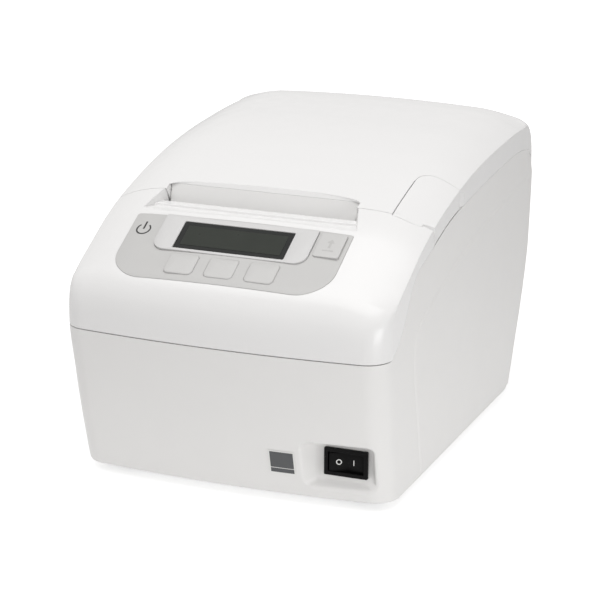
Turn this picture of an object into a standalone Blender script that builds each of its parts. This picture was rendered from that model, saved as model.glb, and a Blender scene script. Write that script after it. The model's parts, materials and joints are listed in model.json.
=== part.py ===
"""Desktop thermal receipt printer with a top paper cover, an open lever, a small
display panel and a front power switch, built as separate pieces.

Lengths are written in millimetres and scaled to metres when a mesh is made.
X runs to the right as seen from the front, the front faces -Y, +Z is up, and
z = 0 is the table under the rubber feet.
"""

import math

import bmesh
import bpy
import numpy as np

MM = 0.001
GAP = 0.3                      # clearance between neighbouring pieces

# Case envelope
HALF_WIDTH = 72.5
WALL = 2.4
BASE_Z = 3.0                   # underside of the case
SEAM_Z = 68.5                  # seam between front cover and lower case
DRAFT = 1.6                    # how far each side leans in between seam and base
FRONT_CORNER = 11.2
REAR_CORNER = 8.0

# Centre line of the case: y, z and the cross-section there. The third number is
# 0 for the rounded front wall, 1 for the crowned top and 2 for the rear wall.
CENTRE_LINE = [
    (-90.6, 3.0, 0), (-92.0, 3.6, 0), (-92.9, 5.5, 0), (-96.2, 18, 0),
    (-99.9, 34, 0), (-103.2, 52, 0), (-105.2, 62, 0), (-105.9, 68.5, 0),
    (-106.0, 73, 0), (-105.6, 79, 0.1), (-104.0, 85, 0.3), (-101.2, 90, 0.5),
    (-97.2, 94.3, 0.75), (-92.5, 97.1, 0.9), (-86.0, 100.5, 1), (-76.0, 105.75, 1),
    (-67.6, 110.2, 1), (-62.0, 113.0, 1), (-55.0, 116.0, 1), (-47.0, 118.9, 1),
    (-41.0, 120.8, 1), (-30.2, 123.8, 1), (-20.0, 126.4, 1), (-9.8, 128.6, 1),
    (4.0, 131.1, 1), (19.0, 133.0, 1), (34.0, 134.4, 1), (49.0, 135.2, 1),
    (66.0, 135.9, 1), (80.0, 136.0, 1), (89.0, 135.1, 1.1), (96.0, 132.2, 1.35),
    (101.5, 127.0, 1.6), (104.8, 120.5, 1.8), (106.0, 113, 2), (106.0, 102, 2),
    (104.5, 84, 2), (101.5, 61, 2), (95.3, 39, 2), (90.0, 25, 2), (84.8, 11, 2),
    (82.5, 5.5, 2), (81.5, 3.6, 2), (80.0, 3.0, 2),
]
ACROSS = [0, 12, 24, 36, 46, 54, 60, 64, 67.5, 70, 71.6, 72.5]

# Line on each side where the glossy upper covers meet the lower case
ARCH = [(-92.0, 68.5), (-84.0, 72.9), (-75.0, 82.3), (-69.1, 91.0), (-61.8, 97.0),
        (-50.6, 100.6), (-39.6, 103.8), (-26.0, 107.6), (-12.9, 110.2), (6.6, 112.4),
        (35.2, 115.0), (57.7, 116.4), (76.5, 117.0), (88.0, 116.0), (94.2, 114.6)]

# Slightly raised field on each side: height and its front and top edge
FIELD = 0.4
FIELD_LINE = [(-49.8, 4.6), (-60.0, 40.6), (-63.6, 53.0), (-64.9, 62.0), (-63.8, SEAM_Z),
              (-57.5, 74.6), (-44.6, 79.4), (-26.3, 84.6), (-10.5, 89.2), (22.7, 95.6),
              (69.5, 100.8), (120, 103.5)]

# Cover hinge
HINGE_Y, HINGE_Z = 100.0, 116.5
BARREL = 5.5
COVER_OPEN_DEG = 85

# Sloping control panel: origin at the middle of the display's top edge
PANEL_X, PANEL_Y, PANEL_Z = -4.5, -67.6, 110.2
PANEL_ANGLE = math.radians(27.9)

# Paper path and roll, centred a little left of the case to clear the lever
PAPER_X = -4.5
ROLL_Y, ROLL_Z, ROLL_R = 38.0, 57.8, 40.0
BUCKET_Z, BUCKET_R = 60.0, 42.5
PLATEN_Y, PLATEN_Z, PLATEN_R = -37.9, 93.0, 6.0
HEAD_Y = PLATEN_Y - PLATEN_R - 0.4     # face of the print head
GEAR_MODULE = 0.5
PLATEN_TEETH, IDLER_TEETH, MOTOR_TEETH = 20, 36, 12
SWITCH_X, SWITCH_Z, SWITCH_Y = 52.3, 20.7, -89.1

# Arm that lifts the platen, turned by the lever
ARM_Y, ARM_Z = -28.0, 85.0

# Open lever: pivot close under its front edge
LEVER_Y, LEVER_Z = -44.8, 113.2
JOINT_Z = 103.75               # height where the covers' joint meets the arch


# ---------------------------------------------------------------- mesh helpers

def solid(name, verts, faces):
    """A closed mesh object from millimetre corners and face index lists."""
    bm = bmesh.new()
    made = [bm.verts.new([c * MM for c in v]) for v in verts]
    for f in faces:
        bm.faces.new([made[i] for i in f])
    bmesh.ops.recalc_face_normals(bm, faces=bm.faces[:])
    mesh = bpy.data.meshes.new(name)
    bm.to_mesh(mesh)
    bm.free()
    ob = bpy.data.objects.new(name, mesh)
    bpy.context.scene.collection.objects.link(ob)
    return ob


def extrude(name, outline, to_low, to_high):
    """Prism through an outline; to_low and to_high place each end's corners."""
    n = len(outline)
    verts = [to_low(*p) for p in outline] + [to_high(*p) for p in outline]
    faces = [list(range(n)), list(range(2 * n - 1, n - 1, -1))]
    faces += [[i, (i + 1) % n, n + (i + 1) % n, n + i] for i in range(n)]
    return solid(name, verts, faces)


def along_x(name, outline, x0, x1):
    """Prism of a (y, z) outline. x0 and x1 are numbers or functions of y and z."""
    low = x0 if callable(x0) else lambda y, z: x0
    high = x1 if callable(x1) else lambda y, z: x1
    return extrude(name, outline, lambda y, z: (low(y, z), y, z),
                   lambda y, z: (high(y, z), y, z))


def along_y(name, outline, y0, y1):
    return extrude(name, outline, lambda x, z: (x, y0, z), lambda x, z: (x, y1, z))


def along_z(name, outline, z0, z1):
    return extrude(name, outline, lambda x, y: (x, y, z0), lambda x, y: (x, y, z1))


def on_panel(u, s, h):
    """Point u to the right, s down the slope and h above the control panel."""
    c, d = math.cos(PANEL_ANGLE), math.sin(PANEL_ANGLE)
    return (PANEL_X + u, PANEL_Y - s * c - h * d, PANEL_Z - s * d + h * c)


def along_panel(name, outline, h0, h1):
    return extrude(name, outline, lambda u, s: on_panel(u, s, h0),
                   lambda u, s: on_panel(u, s, h1))


def box(name, x0, x1, y0, y1, z0, z1):
    return along_z(name, [(x0, y0), (x1, y0), (x1, y1), (x0, y1)], z0, z1)


def circle(cx, cy, r, count=32, start=0.0, sweep=360.0):
    full = abs(sweep) >= 360
    steps = count if full else count + 1
    return [(cx + r * math.cos(math.radians(start + sweep * i / count)),
             cy + r * math.sin(math.radians(start + sweep * i / count)))
            for i in range(steps)]


def rounded(x0, x1, y0, y1, radii, count=5):
    """Rectangle with its four corner radii: low-low, high-low, high-high, low-high."""
    points = []
    corners = ((x0, y0, 180, 1, 1), (x1, y0, 270, -1, 1),
               (x1, y1, 0, -1, -1), (x0, y1, 90, 1, -1))
    for (cx, cy, start, sx, sy), r in zip(corners, radii):
        if r <= 0:
            points.append((cx, cy))
        else:
            points += circle(cx + sx * r, cy + sy * r, r, count, start, 90)
    return points


def combine(ob, others, operation):
    """Boolean of ob with each of the others, which are then removed."""
    for other in others if isinstance(others, (list, tuple)) else [others]:
        mod = ob.modifiers.new("combine", "BOOLEAN")
        mod.operation = operation
        mod.solver = "EXACT"
        mod.object = other
        graph = bpy.context.evaluated_depsgraph_get()
        mesh = bpy.data.meshes.new_from_object(ob.evaluated_get(graph))
        ob.modifiers.clear()
        ob.data = mesh
        bpy.data.objects.remove(other, do_unlink=True)
    return ob


def cut(ob, *others):
    return combine(ob, others, "DIFFERENCE")


def join(ob, *others):
    return combine(ob, others, "UNION")


def keep(ob, *others):
    return combine(ob, others, "INTERSECT")


def tidy(ob):
    """Merge points that a boolean left almost on top of each other."""
    bm = bmesh.new()
    bm.from_mesh(ob.data)
    bmesh.ops.remove_doubles(bm, verts=bm.verts[:], dist=0.00002)
    bmesh.ops.dissolve_degenerate(bm, dist=0.00001, edges=bm.edges[:])
    bmesh.ops.dissolve_limit(bm, angle_limit=0.002, verts=bm.verts[:], edges=bm.edges[:])
    bmesh.ops.triangulate(bm, faces=bm.faces[:])
    bmesh.ops.recalc_face_normals(bm, faces=bm.faces[:])
    bm.to_mesh(ob.data)
    bm.free()
    return ob


def material(name, colour, roughness, metallic=0.0):
    mat = bpy.data.materials.new(name)
    mat.use_nodes = True
    shader = mat.node_tree.nodes["Principled BSDF"]
    shader.inputs["Base Color"].default_value = (*colour, 1)
    shader.inputs["Roughness"].default_value = roughness
    shader.inputs["Metallic"].default_value = metallic
    return mat


LOOKS = {
    "gloss_white": ((0.86, 0.86, 0.86), 0.22, 0),
    "satin_white": ((0.80, 0.80, 0.81), 0.42, 0),
    "panel_grey": ((0.55, 0.56, 0.57), 0.45, 0),
    "silver_grey": ((0.62, 0.62, 0.65), 0.35, 0.2),
    "guide_grey": ((0.48, 0.48, 0.47), 0.5, 0),
    "black": ((0.02, 0.02, 0.02), 0.35, 0),
    "dark_grey": ((0.10, 0.10, 0.11), 0.6, 0),
    "board": ((0.03, 0.22, 0.10), 0.5, 0),
    "steel": ((0.62, 0.63, 0.65), 0.3, 1),
    "zinc": ((0.66, 0.67, 0.68), 0.38, 1),
    "rubber": ((0.05, 0.05, 0.05), 0.85, 0),
    "gear_white": ((0.85, 0.84, 0.80), 0.45, 0),
    "ceramic": ((0.82, 0.80, 0.74), 0.3, 0),
    "aluminium": ((0.70, 0.71, 0.72), 0.35, 1),
    "paper": ((0.93, 0.93, 0.91), 0.8, 0),
    "card": ((0.60, 0.47, 0.33), 0.85, 0),
    "label": ((0.16, 0.17, 0.18), 0.5, 0),
}
MADE = {}


def finish(ob, look, smooth=False):
    """Name, clean, colour and shade one finished piece."""
    tidy(ob)
    if look not in MADE:
        MADE[look] = material(look, *LOOKS[look])
    ob.data.materials.clear()
    ob.data.materials.append(MADE[look])
    if smooth:
        for face in ob.data.polygons:
            face.use_smooth = True
        for edge in ob.data.edges:
            edge.use_edge_sharp = False
        bm = bmesh.new()
        bm.from_mesh(ob.data)
        for edge in bm.edges:
            if len(edge.link_faces) == 2:
                edge.smooth = edge.calc_face_angle(0) < math.radians(28)
        bm.to_mesh(ob.data)
        bm.free()
    return ob


# ------------------------------------------------------------- case envelope

def drop(x, kind):
    """How far the surface falls away from the centre line at x."""
    a = abs(x)

    def corner(radius):
        over = a - (HALF_WIDTH - radius)
        if over <= 0:
            return 0.0
        return radius - math.sqrt(max(radius * radius - over * over, 0.0))

    front = 0.00085 * min(a, HALF_WIDTH - FRONT_CORNER) ** 2 + corner(FRONT_CORNER)
    top = 0.00055 * a * a + 0.01016 * max(0.0, a - 48) ** 2
    rear = 0.0001 * min(a, HALF_WIDTH - REAR_CORNER) ** 2 + corner(REAR_CORNER)
    if kind <= 1:
        return front + (top - front) * kind
    return top + (rear - top) * (kind - 1)


def envelope(name, inset=0.0, draft=True):
    """The whole outside of the printer as one closed solid, or an inset copy."""
    line = np.array(CENTRE_LINE)
    ahead = np.roll(line[:, :2], -1, axis=0) - np.roll(line[:, :2], 1, axis=0)
    ahead[0] = line[1, :2] - line[0, :2]
    ahead[-1] = line[-1, :2] - line[-2, :2]
    ahead /= np.linalg.norm(ahead, axis=1)[:, None]
    outward = np.stack([-ahead[:, 1], ahead[:, 0]], axis=1)
    across = sorted({-a for a in ACROSS} | set(ACROSS))
    verts, faces = [], []
    shrink = (HALF_WIDTH - inset) / HALF_WIDTH
    for (y, z, kind), (ny, nz) in zip(CENTRE_LINE, outward):
        if kind <= 1:
            back = np.array([1.0, 0.0]) * (1 - kind) + np.array([-ny, -nz]) * kind
        else:
            back = np.array([-ny, -nz]) * (2 - kind) + np.array([-1.0, 0.0]) * (kind - 1)
        back /= np.linalg.norm(back)
        yy, zz = y - ny * inset, z - nz * inset
        if z < 6:
            zz = z + inset
            yy = y + (inset if y < 0 else -inset)
        for x in across:
            d = drop(x, kind)
            verts.append((x * shrink, yy + back[0] * d, zz + back[1] * d))
    rows, cols = len(CENTRE_LINE), len(across)
    for i in range(rows):
        j = (i + 1) % rows
        for k in range(cols - 1):
            faces.append([i * cols + k, i * cols + k + 1,
                          j * cols + k + 1, j * cols + k])
    faces.append([i * cols for i in range(rows)])
    faces.append([i * cols + cols - 1 for i in range(rows)])
    ob = solid(name, verts, faces)
    if draft:
        bm = bmesh.new()
        bm.from_mesh(ob.data)
        bmesh.ops.bisect_plane(bm, geom=bm.verts[:] + bm.edges[:] + bm.faces[:],
                               dist=1e-7, plane_co=(0, 0, SEAM_Z * MM),
                               plane_no=(0, 0, 1))
        for v in bm.verts:
            below = SEAM_Z - v.co.z / MM
            if below > 0:
                lean = DRAFT * below / (SEAM_Z - BASE_Z)
                v.co.x *= (HALF_WIDTH - lean) / HALF_WIDTH
        bm.to_mesh(ob.data)
        bm.free()
    return ob


def hollow(name):
    """The envelope with its inside taken out, ready to be parted."""
    return cut(envelope(name), envelope(name + "_inside", WALL))


def arch_line(lift):
    """The arch moved up by lift, from its front end to the hinge barrel."""
    return [(y, z + lift) for y, z in ARCH]


def barrel_arc(radius, start, end, count=10):
    return [(HINGE_Y + radius * math.cos(math.radians(start + (end - start) * i / count)),
             HINGE_Z + radius * math.sin(math.radians(start + (end - start) * i / count)))
            for i in range(count + 1)]


def parting(z, shift=0.0):
    """y of the sloping joint between the front cover and the paper cover."""
    return -46.6 + 0.42 * (118 - z) + shift


# -------------------------------------------------------------- outer covers

# The notch where the receipt comes out: its ends lean in all directions
def notch_left(y, z, grow=0.0):
    return -48.0 + 0.406 * (y + 46) - 1.243 * (z - 112.2) - grow


def notch_right(y, z, grow=0.0):
    return 2 * PAPER_X + 48.0 - 0.406 * (y + 46) + 1.243 * (z - 112.2) + grow


def slot_left(y, z, grow=0.0):
    return -47.3 - 0.43 * (z - 111.2) - grow


def slot_right(y, z, grow=0.0):
    return 2 * PAPER_X - slot_left(y, z, grow)


def lever_outline(grow=0.0, front=-47.0, outside=80.0):
    """Plan outline of the open lever, with a round corner at the back left."""
    left, back = 55.6 - grow, -8.8 + grow
    r = 8.0 + grow
    corner = circle(left + r, back - r, r, 8, 180, -90)
    return [(outside, front), (left, front)] + corner + [(outside, back)]


def panel_outline(grow=0.0):
    """Overlay outline: square top corners, large round bottom corners."""
    return rounded(-49.2 - grow, 49.6 + grow, -3.4 - grow, 34.6 + grow,
                   (1.2, 1.2, 15 + grow, 15 + grow), 8)


KEY_U = (-17.3, 0.8, 18.9)
KEY_S = 25.7


def key_outline(index, grow=0.0):
    if index < 3:
        u = KEY_U[index]
        return rounded(u - 6.5 - grow, u + 6.5 + grow, KEY_S - 5.7 - grow,
                       KEY_S + 5.7 + grow, (1.2, 1.2, 2.2, 2.2), 3)
    return rounded(36.4 - grow, 47.6 + grow, -2.2 - grow, 12.0 + grow,
                   (1.0, 1.0, 1.0, 1.0), 2)


def bezel_outline(grow=0.0):
    return rounded(-34.6 - grow, 34.8 + grow, -2.9 - grow, 18.0 + grow,
                   (0.8, 0.8, 5.5 + grow, 5.5 + grow), 4)


def nose(x0, x1, grow=0.0, count=32):
    """Front edge of the lever: a cone about its pivot, thinner towards the side."""
    def at(x):
        r = 3.9 - 0.23 * (x - 55.4) + grow
        return lambda a, b: (x, LEVER_Y + a * r, LEVER_Z + b * r)
    return extrude("nose", circle(0, 0, 1, count), at(x0), at(x1))


def side_field(side):
    """Solid that trims the raised field of one side, with a sloping rim."""
    rim = []
    for i, (y, z) in enumerate(FIELD_LINE):
        a, b = FIELD_LINE[max(i - 1, 0)], FIELD_LINE[min(i + 1, len(FIELD_LINE) - 1)]
        size = math.hypot(b[0] - a[0], b[1] - a[1])
        rim.append((y, z, (b[1] - a[1]) / size, (a[0] - b[0]) / size))
    rim.append((120, 4.6, 0, 0))

    def at(height):
        def corner(y, z, ny, nz):
            y, z = y + 2.5 * height * ny, z + 2.5 * height * nz
            lean = DRAFT * max(0.0, SEAM_Z - z) / (SEAM_Z - BASE_Z)
            return side * (HALF_WIDTH + height - lean), y, z
        return corner

    return extrude("field", rim, at(-1.2), at(1.6))


def lower_case():
    ob = hollow("lower_case")
    top = [(-130, -10), (-130, SEAM_Z - 0.2)] + arch_line(-0.2)
    top += barrel_arc(BARREL + 0.4, 205, 270) + [(130, HINGE_Z - BARREL - 0.4), (130, -10)]
    keep(ob, along_x("region", top, -90, 90))
    # Solid corner behind the power switch and knuckles for the cover hinge
    join(ob, keep(envelope("fill"), box("b", 28, 69.2, -100, -86.4, 4.6, 35.0)))
    for side in (-1, 1):
        x0, x1 = sorted((side * 46.4, side * 55.6))
        post = along_x("post", [(95.4, 100), (104.6, 100), (104.6, 109.8), (99.6, 109.8),
                                (99.6, HINGE_Z), (95.4, HINGE_Z)], x0, x1)
        join(post, along_x("knuckle", circle(HINGE_Y, HINGE_Z, 4.9, 24), x0, x1))
        join(ob, post)
    cut(ob, along_x("rod_hole", circle(HINGE_Y, HINGE_Z, 1.86, 24), -58, 58))
    # Switch recess with a sloping left wall and a ledge below
    mouth = rounded(31.8, 68.6, 2.8, 31.0, (4.0,) * 4, 3)
    floor = rounded(38.8, 63.8, 11.4, 29.4, (1.5,) * 4, 3)
    n = len(mouth)
    verts = [(x, -100, z) for x, z in mouth] + [(x, SWITCH_Y, z) for x, z in floor]
    faces = [list(range(n)), list(range(2 * n - 1, n - 1, -1))]
    faces += [[i, (i + 1) % n, n + (i + 1) % n, n + i] for i in range(n)]
    cut(ob, solid("recess", verts, faces))
    cut(ob, box("switch_hole", SWITCH_X - 9.0, SWITCH_X + 9.0, -95, -80,
                SWITCH_Z - 5.3, SWITCH_Z + 5.3))
    # Openings for the base plate and the rear sockets
    cut(ob, box("bottom", -64.0, 64.0, -84.0, 73.0, 0, 7))
    cut(ob, box("sockets", -52.5, 52.5, 68, 100, 8.0, 25.8))
    for side in (-1, 1):
        join(ob, keep(envelope("raised", -FIELD), side_field(side)))
    return finish(ob, "satin_white", True)


def front_cover():
    ob = hollow("front_cover")
    join(ob, keep(envelope("fill"), box("b", -60, 51, -66, -45.7, 110.0, 130)))
    region = [(-130, SEAM_Z + 0.2)] + [p for p in arch_line(0.2) if p[0] < -42]
    region += [(parting(JOINT_Z, -GAP / 2), JOINT_Z), (parting(140, -GAP / 2), 140),
               (-130, 140)]
    keep(ob, along_x("region", region, -90, 90))
    # Receipt notch: step down, shallow channel and a lip at the paper gap
    floor = [(-61.9, 135), (-61.9, 112.1), (-58.5, 112.1), (-58.2, 111.7),
             (-53.6, 111.7), (-53.2, 112.7), (-48.4, 112.7), (-48.4, 100), (-30, 100),
             (-30, 135)]
    cut(ob, along_x("notch", floor, notch_left, notch_right))
    cut(ob, box("gap", -47.9, 38.9, -48.4, -30, 95, 112.5))
    # Sunken bed for the overlay, then holes for the display and the keys
    bed = along_panel("bed", panel_outline(0.25), -6, 8)
    cut(ob, cut(bed, envelope("bed_floor", 1.15)))
    cut(ob, along_panel("window", rounded(-28.6, 28.6, -0.6, 17.2, (1, 1, 1, 1), 2), -9, 5))
    for i in range(4):
        cut(ob, along_panel("key_hole", key_outline(i, 0.35), -9, 5))
    # Room for the lever's nose and for the lever behind it
    cut(ob, nose(55.3, 68.4, GAP))
    cut(ob, box("behind", 55.3, 68.4, LEVER_Y, -30, 106, 130))
    cut(ob, along_x("bracket_room", circle(LEVER_Y, LEVER_Z, 2.5, 20), 51.2, 55.6))
    return finish(ob, "gloss_white", True)


def paper_cover():
    ob = hollow("paper_cover")
    for x0, x1 in ((-60, -46.5), (37.5, 51)):
        join(ob, keep(envelope("fill"), box("b", x0, x1, -50, -42.4, 109.0, 130)))
    region = [(parting(140, GAP / 2), 140), (parting(JOINT_Z, GAP / 2), JOINT_Z)]
    region += [p for p in arch_line(0.2) if p[0] > -39]
    region += barrel_arc(BARREL, 206, 360) + [(130, HINGE_Z), (130, 160), (-50, 160)]
    keep(ob, along_x("region", region, -90, 90))
    slot = [(-70, 140), (-41.7, 140), (-41.7, 118.4), (-39.5, 118.4), (-42.1, 111.2),
            (-70, 111.2)]
    cut(ob, along_x("slot", slot, lambda y, z: slot_left(y, z, GAP),
                    lambda y, z: slot_right(y, z, GAP)))
    cut(ob, box("throat", -47.6, 38.6, -70, -41.6, 95, 111.5))
    cut(ob, along_z("lever_room", lever_outline(GAP, -60.0), 90, 150))
    # Finger recess behind the lever
    cut(ob, along_x("finger", [(-8.8, 109), (-8.8, 118.5), (-2.8, 117.2), (-2.8, 109)],
                    lambda y, z: 70.9 + (y + 8.8) * 0.26, 90))
    cut(ob, along_x("bracket_room", circle(LEVER_Y, LEVER_Z, 2.5, 20), 51.2, 55.6))
    cut(ob, along_x("hub_room", circle(HINGE_Y, HINGE_Z, 3.2, 24), -46, 37))
    # Clear the hinge knuckles on the case
    for side in (-1, 1):
        x0, x1 = sorted((side * 46.0, side * 56.0))
        room = box("room", x0, x1, 94.0, 130, 90, HINGE_Z)
        join(room, along_x("round", circle(HINGE_Y, HINGE_Z, 5.7, 24), x0, x1))
        cut(ob, room)
    return finish(ob, "gloss_white", True)


def open_lever():
    ob = hollow("open_lever")
    lower = [(parting(JOINT_Z, GAP), JOINT_Z + 0.2)]
    lower += [p for p in arch_line(0.25) if -39 < p[0] < 0] + [(0, 150)]
    region = along_x("region", lower + [(LEVER_Y, 150), (LEVER_Y, 111.0)], 40, 68.1)
    join(region, nose(40, 68.1))
    edge = parting(111.8, GAP)
    join(region, along_x("right", lower + [(edge, 150), (edge, 111.8)], 68.0, 90))
    keep(ob, region)
    keep(ob, along_z("plan", lever_outline(0.0, -60), 90, 150))
    # A slanted front edge at the side leaves a small notch beside the front cover
    cut(ob, along_z("wedge", [(68.1, -60), (68.1, edge + 0.1), (80, edge + 6.4), (80, -60)],
                    90, 150))
    # Hub under the front edge that turns on the pivot pin
    hub = along_x("hub", circle(LEVER_Y, LEVER_Z, 2.3, 20), 56.2, 61.6)
    web = along_x("web", [(LEVER_Y - 1.5, LEVER_Z), (LEVER_Y + 1.5, LEVER_Z),
                          (LEVER_Y + 3.5, 115.6), (LEVER_Y + 0.5, 115.2)], 56.2, 61.6)
    join(ob, hub, web)
    cut(ob, along_x("bore", circle(LEVER_Y, LEVER_Z, 1.26, 20), 50, 63.5))
    return finish(ob, "gloss_white", True)


def panel_parts():
    """Overlay, display and keys on the sloping control panel."""
    overlay = along_panel("panel_overlay", panel_outline(0.0), -6, 8)
    keep(overlay, envelope("above", -0.2))
    cut(overlay, envelope("below", 0.9))
    cut(overlay, along_panel("hole", bezel_outline(0.25), -9, 9))
    for i in range(4):
        cut(overlay, along_panel("key_hole", key_outline(i, 0.3), -9, 9))
    finish(overlay, "panel_grey", True)

    bezel = along_panel("lcd_bezel", bezel_outline(), -0.75, 0.55)
    cut(bezel, along_panel("view", rounded(-25.1, 25.2, 0.2, 16.6, (0.4,) * 4, 1), -3, 3))
    finish(bezel, "silver_grey")

    display = along_panel("lcd_module", rounded(-24.7, 24.8, 0.6, 16.2, (0.3,) * 4, 1),
                          -2.0, -0.1)
    join(display, along_panel("frame", rounded(-27.8, 27.8, 0.1, 16.7, (0.5,) * 4, 1),
                              -6.2, -1.6))
    finish(display, "black")

    for i, name in enumerate(("menu_key_left", "menu_key_middle", "menu_key_right",
                              "feed_key")):
        key = along_panel(name, key_outline(i), -4.6, 3)
        keep(key, envelope("key_top", -0.55))
        finish(key, "panel_grey", True)

    board = along_panel("panel_board", rounded(-47, 48, 2.0, 33.5, (6, 6, 6, 6), 3),
                        -9.4, -8.0)
    for i in range(4):
        u = KEY_U[i] if i < 3 else 42.0
        s = KEY_S if i < 3 else 5.5
        join(board, along_panel("tact", rounded(u - 3, u + 3, s - 3, s + 3, (0.3,) * 4, 1),
                                -8.2, -5.7))
    finish(board, "board")


# ------------------------------------------------------------- base and rear

def base_parts():
    plate = along_z("base_plate", rounded(-63.7, 63.7, -83.7, 72.7, (4,) * 4, 4), 3.0, 4.8)
    for x in (-40, -20, 0, 20, 40):
        cut(plate, box("vent", x - 8, x + 8, -40, -37, 0, 9))
        cut(plate, box("vent", x - 8, x + 8, -30, -27, 0, 9))
    finish(plate, "zinc")
    for name, x, y in (("foot_front_left", -54, -74), ("foot_front_right", 54, -74),
                       ("foot_rear_left", -54, 64), ("foot_rear_right", 54, 64)):
        finish(along_z(name, circle(x, y, 6.5, 28), 0, 2.7), "rubber", True)

    board = box("main_board", -56, 56, -10, 79.2, 9.0, 10.6)
    for x, y, w, d, h in ((-20, 24, 14, 14, 2.0), (14, 30, 10, 8, 1.6), (30, 4, 12, 8, 8.0),
                          (-34, 2, 9, 12, 9), (8, -5, 22, 5, 7), (-18, -5, 16, 5, 7),
                          (46, 20, 8, 8, 12), (-51, 16, 6, 12, 8), (46, 42, 6, 14, 7)):
        join(board, box("chip", x - w / 2, x + w / 2, y - d / 2, y + d / 2, 10.2, 10.6 + h))
    for x in (-52, 52):
        for y in (-5, 58):
            join(board, along_z("post", circle(x, y, 2.2, 14), 5.1, 9.3))
    finish(board, "board")

    sockets = (("power_socket", -50, -37, 22.6), ("drawer_socket", -33.5, -20.5, 22.6),
               ("serial_socket", -17, 14, 23.2), ("usb_socket", 17.5, 29.5, 21.8),
               ("network_socket", 33.5, 49.5, 24.2))
    plate = box("socket_plate", -52.0, 52.0, 80.0, 81.2, 8.4, 25.4)
    for name, x0, x1, top in sockets:
        cut(plate, box("hole", x0 - GAP, x1 + GAP, 78, 84, 10.6, top + GAP))
    finish(plate, "zinc")
    power = box("power_socket", -50, -37, 66.5, 82.4, 10.9, 22.6)
    cut(power, along_y("plug", circle(-43.5, 16.8, 4.9, 24), 71, 90))
    join(power, along_y("pin", circle(-43.5, 16.8, 1.2, 12), 70, 76))
    finish(power, "black")
    drawer = box("drawer_socket", -33.5, -20.5, 66.5, 82.4, 10.9, 22.6)
    cut(drawer, box("plug", -31.8, -22.2, 70, 90, 12.4, 19.4),
        box("latch", -29.5, -24.5, 70, 90, 19.0, 21.2))
    finish(drawer, "black")
    serial = box("serial_socket", -17, 14, 66.5, 80.9, 10.9, 23.2)
    shell = along_y("shell", [(-9.6, 13.2), (6.6, 13.2), (8.2, 21.0), (-11.2, 21.0)], 80.0, 86.0)
    cut(shell, along_y("inside", [(-8.8, 13.9), (5.8, 13.9), (7.2, 20.3), (-10.2, 20.3)], 79, 90))
    join(serial, shell)
    for side in (-14.0, 11.0):
        join(serial, along_y("jack", circle(side, 17.1, 2.3, 6), 80.0, 84.5))
    for row, z in ((5, 18.4), (4, 15.8)):
        for k in range(row):
            x = -1.5 + (k - (row - 1) / 2) * 2.74
            join(serial, along_y("contact", circle(x, z, 0.6, 8), 80.0, 84.6))
    finish(serial, "zinc")
    usb = box("usb_socket", 17.5, 29.5, 66.5, 82.4, 10.9, 21.8)
    cut(usb, box("plug", 19.0, 28.0, 70, 90, 12.3, 20.4))
    join(usb, box("tongue", 21.2, 25.8, 69, 76, 14.6, 17.8))
    finish(usb, "zinc")
    net = box("network_socket", 33.5, 49.5, 66.5, 82.4, 10.9, 24.2)
    cut(net, box("plug", 35.4, 47.6, 69, 90, 12.6, 20.4),
        box("latch", 38.4, 44.6, 69, 90, 20.0, 22.6))
    finish(net, "zinc")


def switch_parts():
    x, z = SWITCH_X, SWITCH_Z
    frame = box("switch_housing", x - 9.7, x + 9.7, SWITCH_Y - 1.9, SWITCH_Y - 0.3,
                z - 6.0, z + 6.0)
    join(frame, box("body", x - 8.7, x + 8.7, SWITCH_Y - 1.0, -77.5, z - 5.0, z + 5.0))
    cut(frame, box("well", x - 7.9, x + 7.9, SWITCH_Y - 5, -82.5, z - 4.3, z + 4.3))
    for px in (-5, 5):
        join(frame, box("tab", x + px - 0.4, x + px + 0.4, -78, -71.5, z - 2.4, z + 2.4))
    finish(frame, "black")
    # Rocker at its off position, tipped about an upright axis
    tip = math.radians(7)
    face = [(-7.5, -2.2), (0.0, -0.9), (7.5, -2.2), (7.5, 0.6), (2.2, 3.4), (-2.2, 3.4), (-7.5, 0.6)]
    pivot_y = SWITCH_Y + 1.0
    points = [(x + u * math.cos(tip) - v * math.sin(tip),
               pivot_y + u * math.sin(tip) + v * math.cos(tip)) for u, v in face]
    finish(along_z("switch_rocker", points, z - 4.0, z + 4.0), "black")
    finish(keep(box("rating_label", 20.3, 31.6, -110, -85, 13.8, 24.6),
                cut(envelope("outer", -0.35), envelope("inner", -0.15))), "label")


# ------------------------------------------------------------------ mechanism

def gear(name, cy, cz, teeth, x0, x1, phase, bore, look="gear_white"):
    r = teeth * GEAR_MODULE / 2
    tip, root = r + 0.85 * GEAR_MODULE, r - 1.2 * GEAR_MODULE
    pitch = 2 * math.pi / teeth
    outline = []
    for k in range(teeth):
        a = phase + k * pitch
        for radius, part in ((root, -0.34), (tip, -0.12), (tip, 0.12), (root, 0.34)):
            outline.append((cy + radius * math.cos(a + part * pitch),
                            cz + radius * math.sin(a + part * pitch)))
    ob = along_x(name, outline, x0, x1)
    if bore:
        cut(ob, along_x("bore", circle(cy, cz, bore, 20), x0 - 5, x1 + 5))
    return ob


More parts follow.
